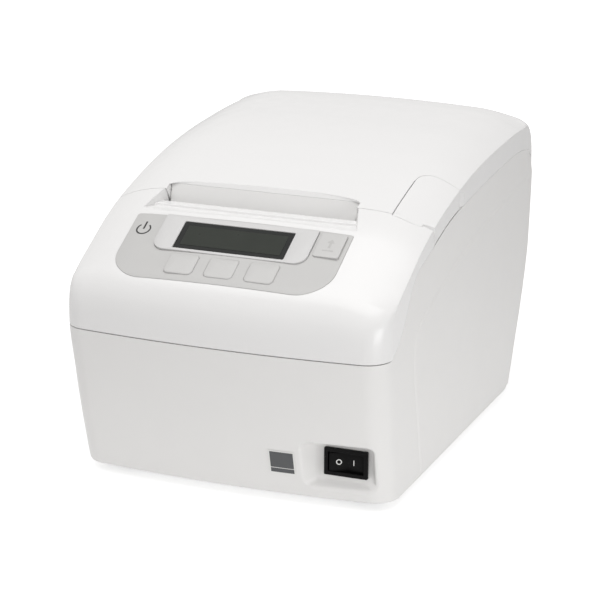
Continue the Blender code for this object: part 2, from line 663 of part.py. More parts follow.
def drive_parts():
    """Chassis, stepper motor and the gear train that turns the platen."""
    y, z = PLATEN_Y, PLATEN_Z
    slot = [(y + 5.35, 99.0)] + [(y + 5.35 * math.cos(t), z + 5.35 * math.sin(t))
                               for t in np.linspace(0, -math.pi, 9)] + [(y - 5.35, 99.0)]
    side = [(-66, 12), (-12, 12), (-12, 56), (-29, 84), (-29, 99.0)] + slot
    side += [(-52, 99.0), (-66, 86)]
    frame = along_x("chassis", side, -54.5, -53.0)
    join(frame, along_x("right", side, 43.5, 45.0))
    join(frame, box("beam", -54.0, 44.5, -62.0, -60.6, 80, 98.6))
    join(frame, box("floor", -54.0, 44.5, -65.9, -12.1, 12.0, 13.4))
    join(frame, box("tie", -54.0, 44.5, -20.0, -18.6, 12.5, 40))
    for x in (-48, 38):
        for fy in (-60, -24):
            join(frame, along_z("foot", circle(x, fy, 2.6, 14), 5.1, 12.6))
    # Bracket that carries the lever's pivot pin
    arm = [(-50, 70), (-38, 70)] + circle(LEVER_Y, LEVER_Z, 2.0, 8, 0, 180)
    join(frame, along_x("bracket", arm, 51.6, 53.2))
    join(frame, box("shelf", 44.2, 52.4, -49.8, -38.2, 70.0, 71.5))
    cut(frame, along_x("pin_hole", circle(LEVER_Y, LEVER_Z, 1.26, 20), 50, 56))

    a1 = math.radians(-80)
    d1 = GEAR_MODULE * (PLATEN_TEETH + IDLER_TEETH) / 2 + 0.12
    iy, iz = y + d1 * math.cos(a1), z + d1 * math.sin(a1)
    a2 = math.radians(-110)
    d2 = GEAR_MODULE * (IDLER_TEETH + MOTOR_TEETH) / 2 + 0.12
    my, mz = iy + d2 * math.cos(a2), iz + d2 * math.sin(a2)
    idler_phase = a1 + math.pi + math.pi / IDLER_TEETH
    step = 2 * math.pi / IDLER_TEETH
    lead = (a2 - idler_phase) % step
    motor_phase = a2 + math.pi + lead * IDLER_TEETH / MOTOR_TEETH + math.pi / MOTOR_TEETH

    # Stub on the left side plate for the idler, and a clearance hole for the motor
    cut(frame, along_x("shaft_hole", circle(my, mz, 5.5, 20), -60, -50))
    join(frame, along_x("stub", circle(iy, iz, 2.0, 20), -60.6, -53.8))
    cut(frame, along_x("shaft_slot", circle(y, z, 3.2, 20), -56, -52))
    finish(frame, "zinc")

    idler = gear("idler_gear", iy, iz, IDLER_TEETH, -60.0, -56.0, idler_phase, 2.06)
    join(idler, cut(along_x("hub", circle(iy, iz, 4.0, 20), -56.5, -54.9),
                    along_x("bore", circle(iy, iz, 2.06, 20), -70, -50)))
    finish(idler, "gear_white")
    pinion = gear("motor_gear", my, mz, MOTOR_TEETH, -60.0, -55.2, motor_phase, 0)
    join(pinion, along_x("shaft", circle(my, mz, 1.2, 16), -56, -50.9))
    finish(pinion, "steel")
    motor = along_x("feed_motor", circle(my, mz, 17.5, 36), -52.7, -34.0)
    join(motor, along_x("boss", circle(my, mz, 4.8, 20), -54.4, -52.5))
    cut(motor, along_x("bore", circle(my, mz, 1.27, 16), -60, -50.6))
    cut(motor, box("flat", -60, -30, -80, my - 15.2, 40, 90))
    finish(motor, "steel", True)

    # Platen roller with its shaft, gear and bushes, carried by the paper cover
    shaft = along_x("platen_shaft", circle(y, z, 2.5, 28), -60.6, 49.4)
    finish(shaft, "steel", True)
    rubber = along_x("platen_rubber", circle(y, z, PLATEN_R, 40), PAPER_X - 40.8, PAPER_X + 40.8)
    cut(rubber, along_x("bore", circle(y, z, 2.56, 28), -60, 60))
    finish(rubber, "rubber", True)
    spur = gear("platen_gear", y, z, PLATEN_TEETH, -60.0, -56.0, a1, 2.56)
    finish(spur, "gear_white")
    for name, x0, x1 in (("platen_bush_left", -55.2, -51.2), ("platen_bush_right", 41.9, 45.4)):
        bush = along_x(name, circle(y, z, 5.0, 28), x0, x1)
        cut(bush, along_x("bore", circle(y, z, 2.56, 28), -70, 70))
        finish(bush, "black", True)


def coil(name, start, radius, wire, turns, length):
    """Compression spring along +Y from start, with closed ends."""
    sides, per_turn = 5, 10
    count = int(turns * per_turn)
    verts, faces = [], []
    for i in range(count + 1):
        t = i / count
        angle = 2 * math.pi * turns * t
        cy = start[1] + wire + (length - 2 * wire) * t
        for k in range(sides):
            b = 2 * math.pi * k / sides
            rr = radius + wire * math.cos(b)
            verts.append((start[0] + rr * math.cos(angle), cy + wire * math.sin(b),
                          start[2] + rr * math.sin(angle)))
    for i in range(count):
        for k in range(sides):
            n = (k + 1) % sides
            faces.append([i * sides + k, i * sides + n, (i + 1) * sides + n, (i + 1) * sides + k])
    faces.append(list(range(sides)))
    faces.append([count * sides + k for k in range(sides)])
    return solid(name, verts, faces)


def print_parts():
    """Print head with its springs, and the automatic cutter."""
    y = HEAD_Y
    head = box("print_head", PAPER_X - 39.8, PAPER_X + 39.8, y - 1.0, y, 86.2, 94.3)
    join(head, box("connector", PAPER_X - 14, PAPER_X + 14, y - 0.9, y + 0.4, 80.0, 86.0),
         box("tail", PAPER_X - 14, PAPER_X + 14, y - 1.0, y - 0.4, 84.0, 87.0))
    finish(head, "ceramic")
    sink = box("head_heatsink", PAPER_X - 40.5, PAPER_X + 40.5, y - 4.2, y - 1.3, 84.6, 96.0)
    for x in (-30, -15, 0, 15, 30):
        join(sink, box("rib", PAPER_X + x - 1, PAPER_X + x + 1, y - 5.8, y - 3.6, 85.4, 95))
    finish(sink, "aluminium")
    for name, x in (("head_spring_left", PAPER_X - 22.5), ("head_spring_right", PAPER_X + 22.5)):
        finish(coil(name, (x, -60.3, 90.0), 2.6, 0.4, 6, 11.1), "steel", True)

    tray = box("cutter_frame", -43.9, 37.0, -63.5, -49.4, 98.9, 100.7)
    for x0, x1 in ((-43.9, -42.6), (35.7, 37.0)):
        join(tray, box("rail", x0 + 0.0, x1, -63.5, -49.4, 100.2, 103.2))
    cut(tray, box("rack_room", -46, -42, -60, -47, 100.7, 104))
    finish(tray, "zinc")
    # Blade with a shallow V edge; a rack on its left edge meets the pinion
    left, right, back, tipy = -41.2, 35.4, -62.8, -49.6
    edge = [(left, tipy), (PAPER_X, tipy - 4.0), (right, tipy)]
    pitch = math.pi * 0.5
    rack = []
    cy = -55.0
    for k in range(-3, 5):
        c = cy - (k + 0.5) * pitch
        rack += [(left - 0.0, c + 0.50), (left - 0.95, c + 0.20), (left - 0.95, c - 0.20),
                 (left - 0.0, c - 0.50)]
    rack = [p for p in rack if back + 0.2 < p[1] < tipy - 0.2]
    blade = [(right, back), (right, tipy)] + edge[::-1][1:] + rack + [(left, back)]
    finish(along_z("cutter_blade", blade, 101.1, 101.9), "steel")
    teeth, module = 14, 0.5
    r = teeth * module / 2
    cx = left - 0.45 - r - 0.12
    outline = []
    for k in range(teeth):
        a = 2 * math.pi * k / teeth
        step = 2 * math.pi / teeth
        for radius, part in ((r - 0.62, -0.33), (r + 0.42, -0.11), (r + 0.42, 0.11),
                             (r - 0.62, 0.33)):
            outline.append((cx + radius * math.cos(a + part * step),
                            cy + radius * math.sin(a + part * step)))
    pinion = along_z("cutter_pinion", outline, 100.9, 103.4)
    join(pinion, along_z("shaft", circle(cx, cy, 0.9, 12), 96.0, 101.2))
    finish(pinion, "steel")
    motor = along_z("cutter_motor", circle(cx, cy, 5.0, 28), 84.6, 98.0)
    cut(motor, along_z("bore", circle(cx, cy, 0.97, 12), 95.7, 110))
    finish(motor, "steel", True)


def cover_parts():
    """Pieces fixed under the paper cover."""
    front = [(-41.6, 118.0), (-42.0, 118.0), (-45.4, 111.2), (-43.1, 111.2), (-39.9, 118.0)]
    guide = along_x("exit_guide", front, slot_left, slot_right)
    join(guide, along_x("throat", [(-45.6, 111.6), (-45.6, 103.0), (-43.9, 103.0),
                                   (-43.2, 111.6)], -47.3, 38.3))
    finish(guide, "guide_grey")

    top = [(-42.4, 102.2), (-42.2, 108.6), (-36.0, 115.0), (-28.0, 117.0), (0, 123.4),
           (35, 127.8), (70, 129.2), (88, 126.8), (97.0, 119.8)]
    under = [(95.6, 118.0), (87, 124.7), (70, 127.2), (35, 125.8), (0, 121.4), (-26, 115.2),
             (-34.0, 112.0), (-36.0, 107.0), (-36.0, 102.2)]
    frame = along_x("cover_frame", top + under, PAPER_X - 40.6, PAPER_X + 40.6)
    arm = [(-42.9, 88.5), (-35.0, 88.5), (-31.5, 92.0), (-24.0, 106.0), (-8, 117.0),
           (0, 121.4), (0, 123.4), (-28, 117.0), (-36, 115.0), (-42.2, 108.6), (-42.9, 100)]
    hub_arm = [(84, 125.6), (88, 126.4), (97.5, 119.8), (101.0, 118.0), (98.4, 114.4),
               (95.6, 117.6), (86, 124.4)]
    for side in (-1, 1):
        x0, x1 = sorted((PAPER_X + side * 43.6, PAPER_X + side * 45.4))
        join(frame, along_x("arm", arm, x0, x1))
        join(frame, along_x("lug", [(-25, 115.9), (-12, 119.0), (-12, 120.0), (-25, 116.9)],
                            *sorted((PAPER_X + side * 40.0, PAPER_X + side * 45.0))))
        x0, x1 = sorted((PAPER_X + side * 30.0, PAPER_X + side * 40.0))
        hinge = along_x("hinge", hub_arm, x0, x1)
        join(hinge, along_x("hub", circle(HINGE_Y, HINGE_Z, 2.8, 24), x0, x1))
        join(frame, hinge)
    cut(frame, along_x("rod_bore", circle(HINGE_Y, HINGE_Z, 1.88, 24), -80, 80))
    cut(frame, along_x("shaft_bore", circle(PLATEN_Y, PLATEN_Z, 2.58, 28), -80, 80))
    finish(frame, "dark_grey")
    blade = box("fixed_blade", PAPER_X - 40.4, PAPER_X + 40.4, -45.6, -37.0, 99.6, 100.8)
    join(blade, box("tab_a", -38, -26, -41.3, -37.4, 100.5, 101.9),
         box("tab_b", 17, 29, -41.3, -37.4, 100.5, 101.9))
    finish(blade, "steel")
    rod = along_x("hinge_rod", circle(HINGE_Y, HINGE_Z, 1.8, 24), -56.6, 56.6)
    finish(rod, "steel", True)


def latch_parts():
    """Lever pin and the release arm on the right side of the chassis."""
    pin = along_x("lever_pin", circle(LEVER_Y, LEVER_Z, 1.2, 20), 51.2, 61.6)
    finish(pin, "steel", True)
    # Arm that lifts the platen shaft out of its slots as the lever rises
    arm = along_x("release_arm", [(ARM_Y, ARM_Z + 2.6), (ARM_Y - 11, ARM_Z + 3.2),
                                  (ARM_Y - 12, ARM_Z + 1.6), (ARM_Y - 10, ARM_Z - 0.4),
                                  (ARM_Y, ARM_Z - 2.6)], 46.8, 49.4)
    join(arm, along_x("hub", circle(ARM_Y, ARM_Z, 3.4, 20), 46.4, 49.8))
    join(arm, along_x("tail", [(ARM_Y - 1, ARM_Z), (ARM_Y + 1.5, ARM_Z), (ARM_Y + 3.5, 97.0),
                               (ARM_Y + 1.5, 97.0)], 46.8, 49.4))
    cut(arm, along_x("bore", circle(ARM_Y, ARM_Z, 1.56, 20), 40, 60))
    finish(arm, "steel")
    pin = along_x("release_pin", circle(ARM_Y, ARM_Z, 1.5, 20), 45.3, 51.0)
    finish(pin, "steel", True)


def paper_parts():
    x0, x1 = PAPER_X - 39.75, PAPER_X + 39.75
    roll = along_x("paper_roll", circle(ROLL_Y, ROLL_Z, ROLL_R, 64), x0, x1)
    cut(roll, along_x("bore", circle(ROLL_Y, ROLL_Z, 8.8, 32), x0 - 5, x1 + 5))
    finish(roll, "paper", True)
    core = along_x("roll_core", circle(ROLL_Y, ROLL_Z, 8.6, 32), x0, x1)
    cut(core, along_x("bore", circle(ROLL_Y, ROLL_Z, 6.4, 32), x0 - 5, x1 + 5))
    finish(core, "card", True)

    b0, b1 = PAPER_X - 41.0, PAPER_X + 41.0
    bucket = along_x("paper_bucket", circle(ROLL_Y, BUCKET_Z, BUCKET_R + 1.8, 48),
                     b0 - 1.8, b1 + 1.8)
    keep(bucket, box("low", -80, 80, -30, 110, 0, 72))
    join(bucket, box("front_rim", b0 - 1.8, b1 + 1.8, -10.5, -4.0, 70.2, 72.0))
    join(bucket, box("rear_rim", b0 - 1.8, b1 + 1.8, 79.5, 97.0, 70.2, 72.0))
    cut(bucket, along_x("trough", circle(ROLL_Y, BUCKET_Z, BUCKET_R, 48), b0, b1))
    cut(bucket, box("above", b0, b1, -3.5, 79.5, 60, 90))
    finish(bucket, "dark_grey", True)


def main():
    for ob in list(bpy.data.objects):
        bpy.data.objects.remove(ob, do_unlink=True)
    lower_case()
    front_cover()
    paper_cover()
    open_lever()
    panel_parts()
    base_parts()
    switch_parts()
    drive_parts()
    print_parts()
    cover_parts()
    latch_parts()
    paper_parts()


main()
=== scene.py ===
"""Detailed surfaces, materials, light and camera for the receipt printer.

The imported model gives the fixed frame. The covers, panel, keys and rolls are rebuilt
here at a finer resolution, in millimetres in the same frame, and ride on its bodies.
"""

import json
import math

import bmesh
import bpy
import numpy as np
from mathutils import Matrix, Vector
from mathutils.bvhtree import BVHTree
from mathutils.interpolate import poly_3d_calc


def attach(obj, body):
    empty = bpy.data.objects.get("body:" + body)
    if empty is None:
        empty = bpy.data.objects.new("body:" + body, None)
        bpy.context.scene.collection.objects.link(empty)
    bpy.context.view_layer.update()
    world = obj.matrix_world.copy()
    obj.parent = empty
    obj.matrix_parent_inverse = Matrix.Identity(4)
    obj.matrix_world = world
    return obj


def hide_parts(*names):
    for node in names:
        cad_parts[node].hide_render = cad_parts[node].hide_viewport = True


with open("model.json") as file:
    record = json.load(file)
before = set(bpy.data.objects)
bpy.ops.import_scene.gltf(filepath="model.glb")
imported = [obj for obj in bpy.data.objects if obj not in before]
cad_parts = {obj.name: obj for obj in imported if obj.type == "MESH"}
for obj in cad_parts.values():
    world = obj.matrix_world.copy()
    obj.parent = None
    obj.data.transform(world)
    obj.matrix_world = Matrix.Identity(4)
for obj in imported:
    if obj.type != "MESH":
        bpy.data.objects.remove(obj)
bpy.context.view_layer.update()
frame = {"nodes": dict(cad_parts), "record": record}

MM = 0.001

# Case: X to its right, Y to its back, Z up from the table, all in millimetres
HALF_WIDTH, WALL, BASE_Z, SEAM_Z = 72.5, 2.4, 3.0, 68.5
DRAFT = 1.6          # how much narrower each side is at the base than at the seam
GAP = 0.3            # clearance between the covers
FRONT_CORNER, REAR_CORNER = 11.2, 8.0
# How each part of the outside is arched: the fall per square millimetre from the
# middle, and for the top another fall that starts near its long edges
FRONT_ARCH, TOP_ARCH, REAR_ARCH = 0.00085, 0.00055, 0.0001
SHOULDER_ARCH, SHOULDER_X = 0.01016, 48

# Section of the outside in the middle of the case: y, z and how the surface falls away
# towards the sides, from 0 (front wall) through 1 (top) to 2 (back wall)
CENTRE_LINE = [
    (-90.6, 3.0, 0), (-92.0, 3.6, 0), (-92.9, 5.5, 0), (-96.2, 18, 0),
    (-99.9, 34, 0), (-103.2, 52, 0), (-105.2, 62, 0), (-105.9, 68.5, 0),
    (-106.0, 73, 0), (-105.6, 79, 0.1), (-104.0, 85, 0.3), (-101.2, 90, 0.5),
    (-97.2, 94.3, 0.75), (-92.5, 97.1, 0.9), (-86.0, 100.5, 1), (-76.0, 105.75, 1),
    (-67.6, 110.2, 1), (-62.0, 113.0, 1), (-55.0, 116.0, 1), (-47.0, 118.9, 1),
    (-41.0, 120.8, 1), (-30.2, 123.8, 1), (-20.0, 126.4, 1), (-9.8, 128.6, 1),
    (4.0, 131.1, 1), (19.0, 133.0, 1), (34.0, 134.4, 1), (49.0, 135.2, 1),
    (66.0, 135.9, 1), (80.0, 136.0, 1), (89.0, 135.1, 1.1), (96.0, 132.2, 1.35),
    (101.5, 127.0, 1.6), (104.8, 120.5, 1.8), (106.0, 113, 2), (106.0, 102, 2),
    (104.5, 84, 2), (101.5, 61, 2), (95.3, 39, 2), (90.0, 25, 2), (84.8, 11, 2),
    (82.5, 5.5, 2), (81.5, 3.6, 2), (80.0, 3.0, 2),
]

# Upper edge of the case's side walls: y, z
ARCH = [(-92.0, 68.5), (-84.0, 72.9), (-75.0, 82.3), (-69.1, 91.0), (-61.8, 97.0),
        (-50.6, 100.6), (-39.6, 103.8), (-26.0, 107.6), (-12.9, 110.2), (6.6, 112.4),
        (35.2, 115.0), (57.7, 116.4), (76.5, 117.0), (88.0, 116.0), (94.2, 114.6)]

# Raised field of each side wall: its front and upper edge, y and z
FIELD_LINE = [(-49.8, 4.6), (-60.0, 40.6), (-63.6, 53.0), (-64.9, 62.0), (-63.8, SEAM_Z),
              (-57.5, 74.6), (-44.6, 79.4), (-26.3, 84.6), (-10.5, 89.2), (22.7, 95.6),
              (69.5, 100.8), (120, 103.5)]
FIELD = 0.4          # height of the field
RIM_RUN = 2.8        # how far its rim runs in for each millimetre of height

HINGE_Y, HINGE_Z, BARREL = 100.0, 116.5, 5.5
KNUCKLE = (46.4, 55.6)   # from the middle to both ends of each hinge knuckle
# Middle of the upper edge of the control panel, and its slope
PANEL_X, PANEL_Y, PANEL_Z, PANEL_ANGLE = -4.5, -67.6, 110.2, math.radians(27.9)
PAPER_X = -4.5       # middle of the paper path
ROLL_Y, ROLL_Z = 38.0, 57.8
PLATEN_Y, PLATEN_Z = -37.9, 93.0
SWITCH_X, SWITCH_Z, SWITCH_Y = 52.3, 20.7, -89.1
LEVER_Y, LEVER_Z = -44.8, 113.2
JOINT_Z = 103.75     # where the joint between front and paper cover meets the arch
KEY_U, KEY_S = (-17.3, 0.8, 18.9), 25.7   # centres of the three menu keys
KEY_HALF_WIDTH, KEY_HALF_DEPTH = 6.5, 5.7
FEED_KEY = (36.4, 47.6, -2.2, 12.0)
FILM_HEIGHT = 0.12   # how far the panel film stands above the cover


# ---------------------------------------------------------------- mesh helpers

def solid(name, verts, faces):
    """A closed mesh object from millimetre corners and face index lists."""
    bm = bmesh.new()
    made = [bm.verts.new([c * MM for c in v]) for v in verts]
    for f in faces:
        bm.faces.new([made[i] for i in f])
    bmesh.ops.recalc_face_normals(bm, faces=bm.faces[:])
    mesh = bpy.data.meshes.new(name)
    bm.to_mesh(mesh)
    bm.free()
    ob = bpy.data.objects.new(name, mesh)
    bpy.context.scene.collection.objects.link(ob)
    return ob


def extrude(name, outline, to_low, to_high):
    """Prism over a flat outline, with each end placed by its own function."""
    n = len(outline)
    verts = [to_low(*p) for p in outline] + [to_high(*p) for p in outline]
    faces = [list(range(n)), list(range(2 * n - 1, n - 1, -1))]
    faces += [[i, (i + 1) % n, n + (i + 1) % n, n + i] for i in range(n)]
    return solid(name, verts, faces)


def along_x(name, outline, x0, x1):
    """Prism along X; either end may be a function of y and z."""
    low = x0 if callable(x0) else lambda y, z: x0
    high = x1 if callable(x1) else lambda y, z: x1
    return extrude(name, outline, lambda y, z: (low(y, z), y, z),
                   lambda y, z: (high(y, z), y, z))


def along_y(name, outline, y0, y1):
    return extrude(name, outline, lambda x, z: (x, y0, z), lambda x, z: (x, y1, z))


def along_z(name, outline, z0, z1):
    return extrude(name, outline, lambda x, y: (x, y, z0), lambda x, y: (x, y, z1))


def on_panel(u, s, h):
    """Point on the sloping panel: u to the right, s down the slope, h above it."""
    c, d = math.cos(PANEL_ANGLE), math.sin(PANEL_ANGLE)
    return (PANEL_X + u, PANEL_Y - s * c - h * d, PANEL_Z - s * d + h * c)


def along_panel(name, outline, h0, h1):
    return extrude(name, outline, lambda u, s: on_panel(u, s, h0),
                   lambda u, s: on_panel(u, s, h1))


def box(name, x0, x1, y0, y1, z0, z1):
    return along_z(name, [(x0, y0), (x1, y0), (x1, y1), (x0, y1)], z0, z1)


def circle(cx, cy, r, count=32, start=0.0, sweep=360.0):
    """Points of a full circle, or of an arc with both its ends."""
    steps = count if abs(sweep) >= 360 else count + 1
    return [(cx + r * math.cos(math.radians(start + sweep * i / count)),
             cy + r * math.sin(math.radians(start + sweep * i / count)))
            for i in range(steps)]


def rounded(x0, x1, y0, y1, radii, count=8):
    """Rectangle with a radius for each corner, from the lower left one round."""
    points = []
    corners = ((x0, y0, 180, 1, 1), (x1, y0, 270, -1, 1),
               (x1, y1, 0, -1, -1), (x0, y1, 90, 1, -1))
    for (cx, cy, start, sx, sy), r in zip(corners, radii):
        if r <= 0:
            points.append((cx, cy))
        else:
            points += circle(cx + sx * r, cy + sy * r, r, count, start, 90)
    return points


def spline(points, step):
    """Smooth curve through the points, resampled about every step."""
    pts = [np.array(p, float) for p in points]
    pts = [2 * pts[0] - pts[1]] + pts + [2 * pts[-1] - pts[-2]]
    out = []
    for a, b, c, d in zip(pts, pts[1:], pts[2:], pts[3:]):
        n = max(1, int(math.ceil(np.linalg.norm((c - b)[:2]) / step)))
        t0, t1 = 0.0, max(np.linalg.norm(b - a), 1e-6) ** 0.5
        t2 = t1 + max(np.linalg.norm(c - b), 1e-6) ** 0.5
        t3 = t2 + max(np.linalg.norm(d - c), 1e-6) ** 0.5
        for i in range(n):
            t = t1 + (t2 - t1) * i / n
            a1 = a * (t1 - t) / (t1 - t0) + b * (t - t0) / (t1 - t0)
            a2 = b * (t2 - t) / (t2 - t1) + c * (t - t1) / (t2 - t1)
            a3 = c * (t3 - t) / (t3 - t2) + d * (t - t2) / (t3 - t2)
            b1 = a1 * (t2 - t) / (t2 - t0) + a2 * (t - t0) / (t2 - t0)
            b2 = a2 * (t3 - t) / (t3 - t1) + a3 * (t - t1) / (t3 - t1)
            out.append(b1 * (t2 - t) / (t2 - t1) + b2 * (t - t1) / (t2 - t1))
    out.append(pts[-2])
    return out


def apply_modifiers(ob):
    graph = bpy.context.evaluated_depsgraph_get()
    mesh = bpy.data.meshes.new_from_object(ob.evaluated_get(graph))
    ob.modifiers.clear()
    ob.data = mesh
    return ob


def combine(ob, others, operation):
    for other in others:
        mod = ob.modifiers.new("combine", "BOOLEAN")
        mod.operation, mod.solver, mod.object = operation, "MANIFOLD", other
        apply_modifiers(ob)
        bpy.data.objects.remove(other, do_unlink=True)
    return ob


def cut(ob, *others):
    return combine(ob, others, "DIFFERENCE")


def join(ob, *others):
    return combine(ob, others, "UNION")


def keep(ob, *others):
    return combine(ob, others, "INTERSECT")


# --------------------------------------------------------------- case surface

FINE = [tuple(p) for p in spline(CENTRE_LINE, 2.0)]
# Half of the columns across the surface, closer together in the rounded corners
ACROSS = [0, 6, 12, 18, 24, 30, 36, 42, 47, 51, 55, 58.5]
ACROSS += [HALF_WIDTH - FRONT_CORNER * (1 - math.sin(math.radians(a)))
           for a in (0, 10, 20, 30, 40, 50, 60, 68, 76, 83, 90)]
COARSE = [0, 12, 24, 36, 46, 54, 60, 64, 67.5, 70, 71.6, 72.5]


def drop(x, kind):
    """How far the surface falls away from the centre line at x."""
    a = min(abs(x), HALF_WIDTH)

    def corner(radius):
        over = a - (HALF_WIDTH - radius)
        return radius - math.sqrt(max(radius ** 2 - over ** 2, 0.0)) if over > 0 else 0.0

    front = FRONT_ARCH * min(a, HALF_WIDTH - FRONT_CORNER) ** 2 + corner(FRONT_CORNER)
    top = TOP_ARCH * a * a + SHOULDER_ARCH * max(0.0, a - SHOULDER_X) ** 2
    rear = REAR_ARCH * min(a, HALF_WIDTH - REAR_CORNER) ** 2 + corner(REAR_CORNER)
    if kind <= 1:
        return front + (top - front) * kind
    return top + (rear - top) * (kind - 1)


def surface_rows(rows, inset, across, draft):
    """Corner positions of the case surface, one list per row of the centre line.

    With draft the sides lean in below the seam.
    """
    line = np.array(rows)
    ahead = np.empty((len(rows), 2))
    ahead[1:-1] = line[2:, :2] - line[:-2, :2]
    ahead[0], ahead[-1] = line[1, :2] - line[0, :2], line[-1, :2] - line[-2, :2]
    ahead /= np.linalg.norm(ahead, axis=1)[:, None]
    grid = []
    shrink = (HALF_WIDTH - inset) / HALF_WIDTH
    for (y, z, kind), (ty, tz) in zip(rows, ahead):
        ny, nz = -tz, ty
        level, side = ((1.0, 0.0), 1 - kind) if kind <= 1 else ((-1.0, 0.0), kind - 1)
        back = np.array([-ny, -nz]) * (1 - side) + np.array(level) * side
        back /= np.linalg.norm(back)
        yy, zz = y - ny * inset, z - nz * inset
        if z < 6:        # the turned-in lower edge is inset straight up and inwards
            zz, yy = z + inset, y + (inset if y < 0 else -inset)
        row = []
        for x in across:
            d = drop(x, kind)
            px, pz = x * shrink, zz + back[1] * d
            if draft and pz < SEAM_Z:
                px *= (HALF_WIDTH - DRAFT * (SEAM_Z - pz) / (SEAM_Z - BASE_Z)) / HALF_WIDTH
            row.append((px, yy + back[0] * d, pz))
        grid.append(row)
    return grid


def envelope(name, inset=0.0, fine=True):
    """Closed solid of the whole outside, or a copy inset by some millimetres."""
    rows = FINE if fine else [tuple(p) for p in spline(CENTRE_LINE, 9.0)]
    half = ACROSS if fine else COARSE
    across = [-a for a in half[:0:-1]] + list(half)
    grid = surface_rows(rows, inset, across, draft=False)
    cols, count = len(across), len(rows)
    faces = []
    for i in range(count):
        j = (i + 1) % count
        for k in range(cols - 1):
            faces.append([i * cols + k, i * cols + k + 1,
                          j * cols + k + 1, j * cols + k])
    faces.append([i * cols for i in range(count)])
    faces.append([i * cols + cols - 1 for i in range(count)])
    ob = solid(name, [p for row in grid for p in row], faces)
    # Below the seam the sides lean in, so every face that crosses it is split first
    bm = bmesh.new()
    bm.from_mesh(ob.data)
    bmesh.ops.bisect_plane(bm, geom=bm.verts[:] + bm.edges[:] + bm.faces[:],
                           dist=1e-7, plane_co=(0, 0, SEAM_Z * MM), plane_no=(0, 0, 1))
    for v in bm.verts:
        below = max(0.0, SEAM_Z - v.co.z / MM)
        v.co.x *= (HALF_WIDTH - DRAFT * below / (SEAM_Z - BASE_Z)) / HALF_WIDTH
    bm.to_mesh(ob.data)
    bm.free()
    return ob


def make_guide():
    """Smooth copy of the outer surface: its tree, faces, points and true normals."""
    across = [-a for a in ACROSS[:0:-1]] + list(ACROSS)
    grid = np.array(surface_rows(FINE, 0.0, across, draft=True)) * MM
    du = np.gradient(grid, axis=1)
    dv = np.gradient(grid, axis=0)
    normals = np.cross(du, dv)
    normals /= np.linalg.norm(normals, axis=2)[:, :, None]
    cols, count = len(across), len(FINE)
    if normals[count // 2, cols // 2, 2] < 0:
        normals = -normals
    faces = [(i * cols + k, i * cols + k + 1, (i + 1) * cols + k + 1, (i + 1) * cols + k)
             for i in range(count - 1) for k in range(cols - 1)]
    flat = grid.reshape(-1, 3)
    tree = BVHTree.FromPolygons([Vector(p) for p in flat], faces)
    return tree, faces, flat, normals.reshape(-1, 3)


GUIDE = make_guide()


def smooth_outside(ob, levels=(0.0,), angle=38):
    """Give faces that lie on the case surface that surface's own normals.

    The levels are the heights above it that also count as lying on it. All other
    faces share a normal with neighbours that turn by less than the angle, but a face
    square to X never shares one with a face that leans.
    """
    tree, faces, points, normals = GUIDE
    close = 0.12 * MM
    mesh = ob.data
    mesh.update()
    custom = [None] * len(mesh.loops)
    around = [[] for _ in mesh.vertices]
    on_surface = []
    for poly in mesh.polygons:
        poly.use_smooth = True
        near, normal, _, distance = tree.find_nearest(poly.center)
        on_surface.append(near is not None and abs(normal.dot(poly.normal)) > 0.95 and
                          min(abs(distance - c * MM) for c in levels) < close)
        if not on_surface[-1]:
            for v in poly.vertices:
                around[v].append((poly.normal.copy(), poly.area))
    limit = math.cos(math.radians(angle))

    def shared(vertex, own):
        square = abs(own.x) > 0.999
        return sum((m * area for m, area in around[vertex]
                    if m.dot(own) > limit and (abs(m.x) > 0.999) == square), Vector())

    for poly, on_it in zip(mesh.polygons, on_surface):
        for li in poly.loop_indices:
            vertex = mesh.loops[li].vertex_index
            if on_it:
                near, _, index, _ = tree.find_nearest(mesh.vertices[vertex].co)
                quad = faces[index]
                w = poly_3d_calc([Vector(points[i]) for i in quad], near)
                n = sum((Vector(normals[i]) * wi for i, wi in zip(quad, w)), Vector())
                if n.dot(poly.normal) < 0:
                    n = -n
            else:
                n = shared(vertex, poly.normal)
            custom[li] = n.normalized() if n.length > 1e-12 else poly.normal.copy()
    mesh.normals_split_custom_set(custom)
    return ob


def shade(ob, angle=30):
    """Smooth shading with creases sharper than the angle kept."""
    bm = bmesh.new()
    bm.from_mesh(ob.data)
    bmesh.ops.remove_doubles(bm, verts=bm.verts[:], dist=1e-6)
    for face in bm.faces:
        face.smooth = True
    for edge in bm.edges:
        edge.smooth = len(edge.link_faces) == 2 and \
            edge.calc_face_angle(0) < math.radians(angle)
    bm.to_mesh(ob.data)
    bm.free()
    return ob


def soften(ob, width, segments=3, angle=35):
    """Round the sharp edges of a piece by a real bevel."""
    mod = ob.modifiers.new("soften", "BEVEL")
    mod.width, mod.segments = width * MM, segments
    mod.limit_method, mod.angle_limit = "ANGLE", math.radians(angle)
    mod.harden_normals = False
    return apply_modifiers(ob)


# ------------------------------------------------------------------ materials

def map_range(tree, value, from_min, from_max, to_min, to_max):
    """Output of a node that carries one range of a value over to another."""
    node = tree.nodes.new("ShaderNodeMapRange")
    for key, limit in (("From Min", from_min), ("From Max", from_max),
                       ("To Min", to_min), ("To Max", to_max)):
        node.inputs[key].default_value = limit
    tree.links.new(value, node.inputs["Value"])
    return node.outputs["Result"]


def mix_colours(tree, value, low, high):
    """Output of a node that goes from one colour to another."""
    node = tree.nodes.new("ShaderNodeMix")
    node.data_type = "RGBA"
    node.inputs[6].default_value, node.inputs[7].default_value = low, high
    tree.links.new(value, node.inputs[0])
    return node.outputs[2]


